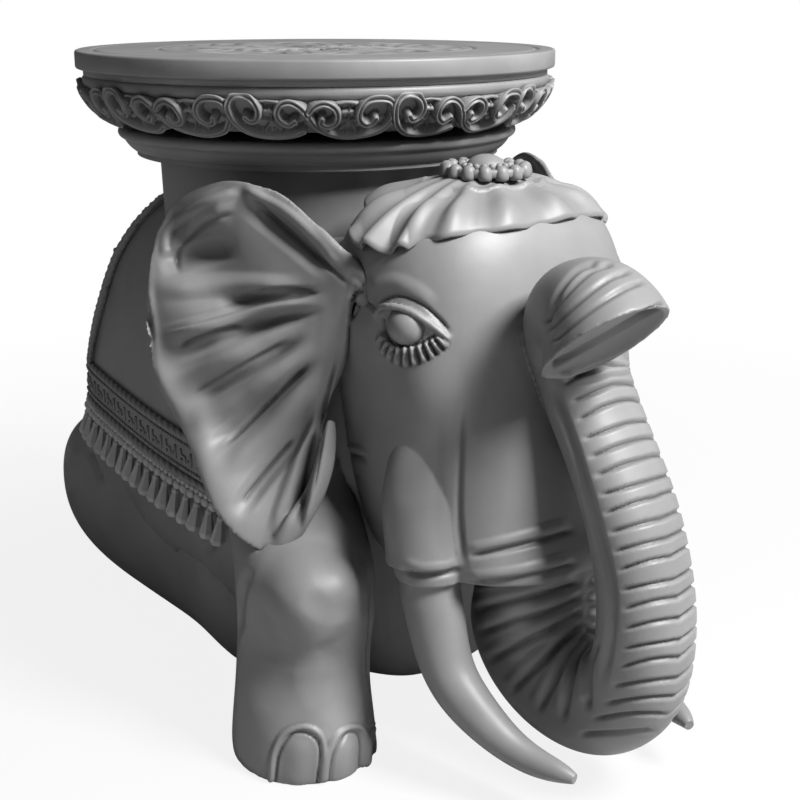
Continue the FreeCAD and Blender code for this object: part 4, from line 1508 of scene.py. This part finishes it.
@dataclass
class Crown:
    """The round ornament on the cloth: a dome in two rings of beads, in millimetres.

    The plate's corners are written as millimetres in from its rim and up from its solid's foot
    or top, and a barrel bead's as shares of its radius and half height.
    """

    core: float = 0.4
    plate_foot: Line = ((3.2, 0.0), (2.4, 1.2))
    plate_top: Line = ((2.4, 1.6), (4.0, 2.4), (9.0, 1.2))
    plate_sides: int = 96
    dome_steps: int = 14
    dome_sides: int = 72
    dome_core: float = 0.01
    seeds: int = 20
    seed_radius: float = 2.2
    seed_out: float = 2.6
    barrels: int = 15
    barrel_radius: float = 4.3
    barrel_height: float = 9.5
    barrel_drop: float = 0.2
    barrel_lean: float = 0.16
    barrel_sides: int = 16
    barrel_shares: Line = (
        (0.55, -1.0), (0.92, -0.86), (1.0, -0.35), (0.98, 0.2), (0.8, 0.66), (0.45, 0.93), (0.1, 1.0))

    def build(self) -> None:
        """Build the disc, the dome and the beads."""
        low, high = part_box("crown_disc")
        boss_low, boss_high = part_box("crown_boss")
        centre = np.array([(low.x + high.x) / 2, (low.y + high.y) / 2, 0.0])
        rim = (high.x - low.x) / 2
        disc = [(self.core * MM, low.z)]
        for level, corners in ((low.z, self.plate_foot), (high.z, self.plate_top)):
            disc += [(rim - inward * MM, level + rise * MM) for inward, rise in corners]
        disc.append((self.core * MM, disc[-1][1]))
        self.stand("crown_plate", np.array(disc), centre, self.plate_sides, "crown_disc")
        radius = (boss_high.x - boss_low.x) / 2
        slope = np.linspace(0, math.pi / 2, self.dome_steps)
        heights = boss_low.z + (boss_high.z - boss_low.z) * np.sin(slope)
        dome = np.stack([radius * np.cos(slope) + self.dome_core * MM, heights], -1)
        self.stand("crown_dome", dome, centre, self.dome_sides, "crown_boss")
        out = self.seed_out * MM
        seeds = self.ring(ball(self.seed_radius * MM), self.seeds, radius + out, high.z + out, centre)
        dress(piece_from("crown_seeds", merged(seeds)), GREY, ["crown_seed_beads"])
        girth, half = self.barrel_radius * MM, self.barrel_height / 2 * MM
        barrel = turned(np.array(self.barrel_shares) * [girth, half], self.barrel_sides)
        barrels = self.ring(barrel, self.barrels, rim - girth, high.z - self.barrel_drop * MM, centre,
                            self.barrel_lean)
        dress(piece_from("crown_barrels", merged(barrels)), GREY, ["crown_beads"])

    @staticmethod
    def stand(name: str, profile: Array, centre: Array, sides: int, node: str) -> None:
        """Turn a profile about the crown's middle and dress it."""
        points, faces = turned(profile, sides)
        dress(piece_from(name, (points + centre, faces)), GREY, [node])

    @staticmethod
    def ring(shape: Faces, count: int, radius: float, level: float, centre: Array,
             lean: float = 0.0) -> list[Faces]:
        """Stand copies of a shape in a ring.

        Args:
            shape: The shape about its own middle.
            count: Number of copies.
            radius: Radius of the ring.
            level: Level of their middles.
            centre: The ring's middle.
            lean: How far the tops lean inwards.

        Returns:
            The copies.
        """
        copies = []
        for index in range(count):
            angle = 2 * math.pi * (index + 0.5) / count
            out = np.array([math.cos(angle), math.sin(angle), 0.0])
            copies.append(placed(shape, centre + out * radius + UP * level, UP - out * lean, angle))
        return copies


@dataclass
class SaddleTrim:
    """The cords, beads, bands and bell pendants along the saddle cloth's edge, in millimetres.

    A row of hem beads is written as its count, radius, squash, stand and drop, a bell's corners
    as shares of its radius and length, and other beads as ball() takes them.
    """

    beside_all_x: float = -300.0
    front_y: float = -53.0
    rear_y: float = 170.0
    front_z: float = 143.0
    rear_z: float = 163.0
    cord_rises: Pair = (0.0, 30.0)
    cord_radius: float = 3.1
    cord_taper: float = 0.7
    cord_stand: float = 1.6
    cord_points: int = 240
    edge_cord_shift: float = 7.0
    edge_cord_stand: float = 1.2
    edge_cord_points: int = 76
    cord_sides: int = 14
    strands: int = 3
    strand_turns: float = 9.0
    strand_share: float = 0.13
    row_rise: float = 0.5
    hem_rows: tuple[tuple[int, float, float, float, float], ...] = (
        (40, 2.5, 1.0, 2.0, 4.6), (26, 3.7, 0.94, 2.6, 9.0))
    bells_in_row: int = 17
    bell_radius: float = 5.6
    bell_length: float = 23.0
    bell_stand: float = 2.8
    bell_drop: float = 10.5
    bell_sides: int = 7
    bell_lean: float = 0.20
    bell_sway: Pair = (0.07, 2.1)
    bell_turn: float = 1.3
    bell_shares: Line = (
        (0.22, -1.0), (0.72, -0.97), (0.98, -0.86), (1.0, -0.80), (0.9, -0.72), (0.62, -0.42),
        (0.44, -0.24), (0.5, -0.16), (0.36, -0.10), (0.16, 0.0))
    band_rises: Pair = (6.0, 24.0)
    band_beads: int = 62
    band_bead: tuple[float, float, int, int] = (1.6 * MM, 0.8, 5, 10)
    band_stand: float = 0.4
    bars: int = 22
    bar_radius: float = 1.1
    bar_sides: int = 8
    bar_stand: float = 0.3
    upright_bar: tuple[Line, Line] = (((0.0, 10.0), (0.0, 20.0)), ((3.2, 11.0), (3.2, 14.0)))
    stepped_bar: tuple[Line, Line] = (
        ((-2.6, 10.5), (-2.6, 15.0), (2.6, 15.0), (2.6, 19.5)), ((2.4, 10.5), (2.4, 12.5)))
    edge_shifts: Pair = (-3.2, 1.2)
    edge_beads: int = 44
    edge_bead: tuple[float, float, int, int] = (2.0 * MM, 0.85, 6, 10)
    edge_stand: float = 0.7
    edge_bead_axis: Place = (-1.0, 0.3, 0.2)
    rear_edge: Line = (
        (163.0, 192.0), (156.0, 204.0), (147.5, 220.0), (139.0, 236.0), (130.5, 252.0), (123.0, 268.0),
        (115.5, 284.0), (105.5, 300.0), (95.0, 316.0), (85.0, 330.0))

    def build(self) -> None:
        """Make the trim of both sides."""
        covers = ("saddle_flap_right", "hem_band_right", "rear_band_right", "torso")
        self.cover = BVHTree.FromPolygons(*[part.tolist() for part in merged(map(node_shape, covers))])
        groups = (("hem_cords", self.cords(), GREY, ["hem_cords"]),
                  # The hem beads and bells take the paler copy of the grey, a painted highlight.
                  ("hem_beads", self.bead_rows(), PAINTED_HIGHLIGHT_GREY, ["hem_beads"]),
                  ("bell_pendants", self.bells(), PAINTED_HIGHLIGHT_GREY, ["pendants"]),
                  ("band_lattice", self.lattice(), GREY, []),
                  ("edge_beads", self.edge_rows(), GREY, []))
        for name, shapes, finish, nodes in groups:
            shape = merged(shapes)
            for side in Side:
                made = shape if side is Side.RIGHT else mirrored(shape)
                piece = piece_from(name + "_trim_" + side.word, made)
                if name == "bell_pendants":
                    piece.data.shade_flat()
                dress(piece, finish, [node + "_" + side.word for node in nodes])
        for side in Side:
            for node in ("saddle_flap", "hem_band", "rear_band"):
                dress(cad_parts[node + "_" + side.word], GREY)

    def on_cover(self, y: float, z: float) -> tuple[Array, Array]:
        """Find a place on the saddle's surface on the elephant's right side.

        Args:
            y: Along the elephant, in millimetres about the seat's axis.
            z: Level in millimetres.

        Returns:
            The point in the frame, and the surface's outward direction there.
        """
        start = spot(self.beside_all_x, y, z)
        hit, normal, _, _ = self.cover.ray_cast(Vector(start), Vector((1.0, 0.0, 0.0)))
        out = np.array(normal)
        return np.array(hit), out if out[0] < 0 else -out

    def hem_z(self, y: float) -> float:
        """Give the level of the low cord at a place along the elephant."""
        share = (y - self.front_y) / (self.rear_y - self.front_y)
        return self.front_z + (self.rear_z - self.front_z) * share

    def hem_line(self, rise: float, stand: float, count: int) -> tuple[Array, Array]:
        """Follow the hem at one level above the low cord.

        Args:
            rise: Millimetres above the low cord's middle.
            stand: Millimetres out from the surface.
            count: Number of points.

        Returns:
            The points and the outward directions.
        """
        places = np.linspace(self.front_y, self.rear_y, count)
        found = [self.on_cover(y, self.hem_z(y) + rise) for y in places]
        outs = np.array([out for _, out in found])
        return np.array([point for point, _ in found]) + outs * stand * MM, outs

    def edge_line(self, shift: float, stand: float, count: int) -> Array:
        """Follow the saddle's rear edge.

        Args:
            shift: Millimetres forward of the band's middle.
            stand: Millimetres out from the surface.
            count: Number of points.

        Returns:
            The points.
        """
        line = smooth_path(self.rear_edge, 8)
        picks = line[np.linspace(0, len(line) - 1, count).round().astype(int)]
        found = [self.on_cover(y - shift, z) for y, z in picks]
        return np.array([point + out * stand * MM for point, out in found])

    def cords(self) -> list[Faces]:
        """Twist the low and the high cord of the hem, and the cord inside the rear edge.

        Returns:
            The cords.
        """
        radius = self.cord_radius * MM
        radii = [radius * self.cord_taper, radius, radius, radius * self.cord_taper]
        runs = [self.hem_line(rise, self.cord_stand, self.cord_points)[0] for rise in self.cord_rises]
        runs.append(self.edge_line(self.edge_cord_shift, self.edge_cord_stand, self.edge_cord_points))
        return [tube(run, radii, self.cord_sides, self.strands, self.strand_turns, self.strand_share)
                for run in runs]

    def bead_rows(self) -> list[Faces]:
        """String the two rows of beads under the low cord.

        Returns:
            The beads.
        """
        shapes = []
        for count, radius, squash, stand, drop in self.hem_rows:
            points, outs = self.hem_line(self.row_rise, stand, count)
            bead = ball(radius * MM, squash)
            shapes += [placed(bead, point - UP * drop * MM, out) for point, out in zip(points, outs)]
        return shapes

    def bells(self) -> list[Faces]:
        """Hang the faceted bells under the beads.

        Returns:
            The bells.
        """
        size = [self.bell_radius * MM, self.bell_length * MM]
        bell = turned(np.array(self.bell_shares) * size, self.bell_sides)
        points, outs = self.hem_line(self.row_rise, self.bell_stand, self.bells_in_row)
        shapes = []
        sway, beat = self.bell_sway
        for index, (point, out) in enumerate(zip(points, outs)):
            up = UP - out * [1, 1, 0] * self.bell_lean + [0, sway * math.sin(index * beat), 0]
            shapes.append(placed(bell, point - UP * self.bell_drop * MM, up, index * self.bell_turn))
        return shapes

    def lattice(self) -> list[Faces]:
        """Lay the band's bead rows and its stepped bars.

        Returns:
            The beads and the bars.
        """
        shapes = []
        bead = ball(*self.band_bead)
        for rise in self.band_rises:
            points, outs = self.hem_line(rise, self.band_stand, self.band_beads)
            shapes += [placed(bead, point, out) for point, out in zip(points, outs)]
        step = (self.rear_y - self.front_y) / self.bars
        for index in range(self.bars):
            y = self.front_y + (index + 0.5) * step
            for line in self.upright_bar if index % 2 else self.stepped_bar:
                run = [self.on_cover(y + dy, self.hem_z(y + dy) + dz) for dy, dz in line]
                path = np.array([point + out * self.bar_stand * MM for point, out in run])
                shapes.append(tube(path, [self.bar_radius * MM] * 2, self.bar_sides))
        return shapes

    def edge_rows(self) -> list[Faces]:
        """String the beads up the saddle's rear edge.

        Returns:
            The beads.
        """
        bead = ball(*self.edge_bead)
        return [placed(bead, point, np.array(self.edge_bead_axis)) for shift in self.edge_shifts
                for point in self.edge_line(shift, self.edge_stand, self.edge_beads)]


def main() -> None:
    """Build every sub-assembly in order, then the studio."""
    logging.basicConfig(level=logging.INFO, format="%(name)s %(message)s")
    assemblies = (Seat(), Frieze(), TurnedStack(), Joinery(), Body(), FrontLegs(), HeadAndTrunk(), Ears(),
                  HeadCloth(), Crown(), SaddleTrim(), SmallSolids(), Studio())
    for assembly in assemblies:
        LOG.info("building %s", type(assembly).__name__)
        assembly.build()


if __name__ == "__main__":
    main()
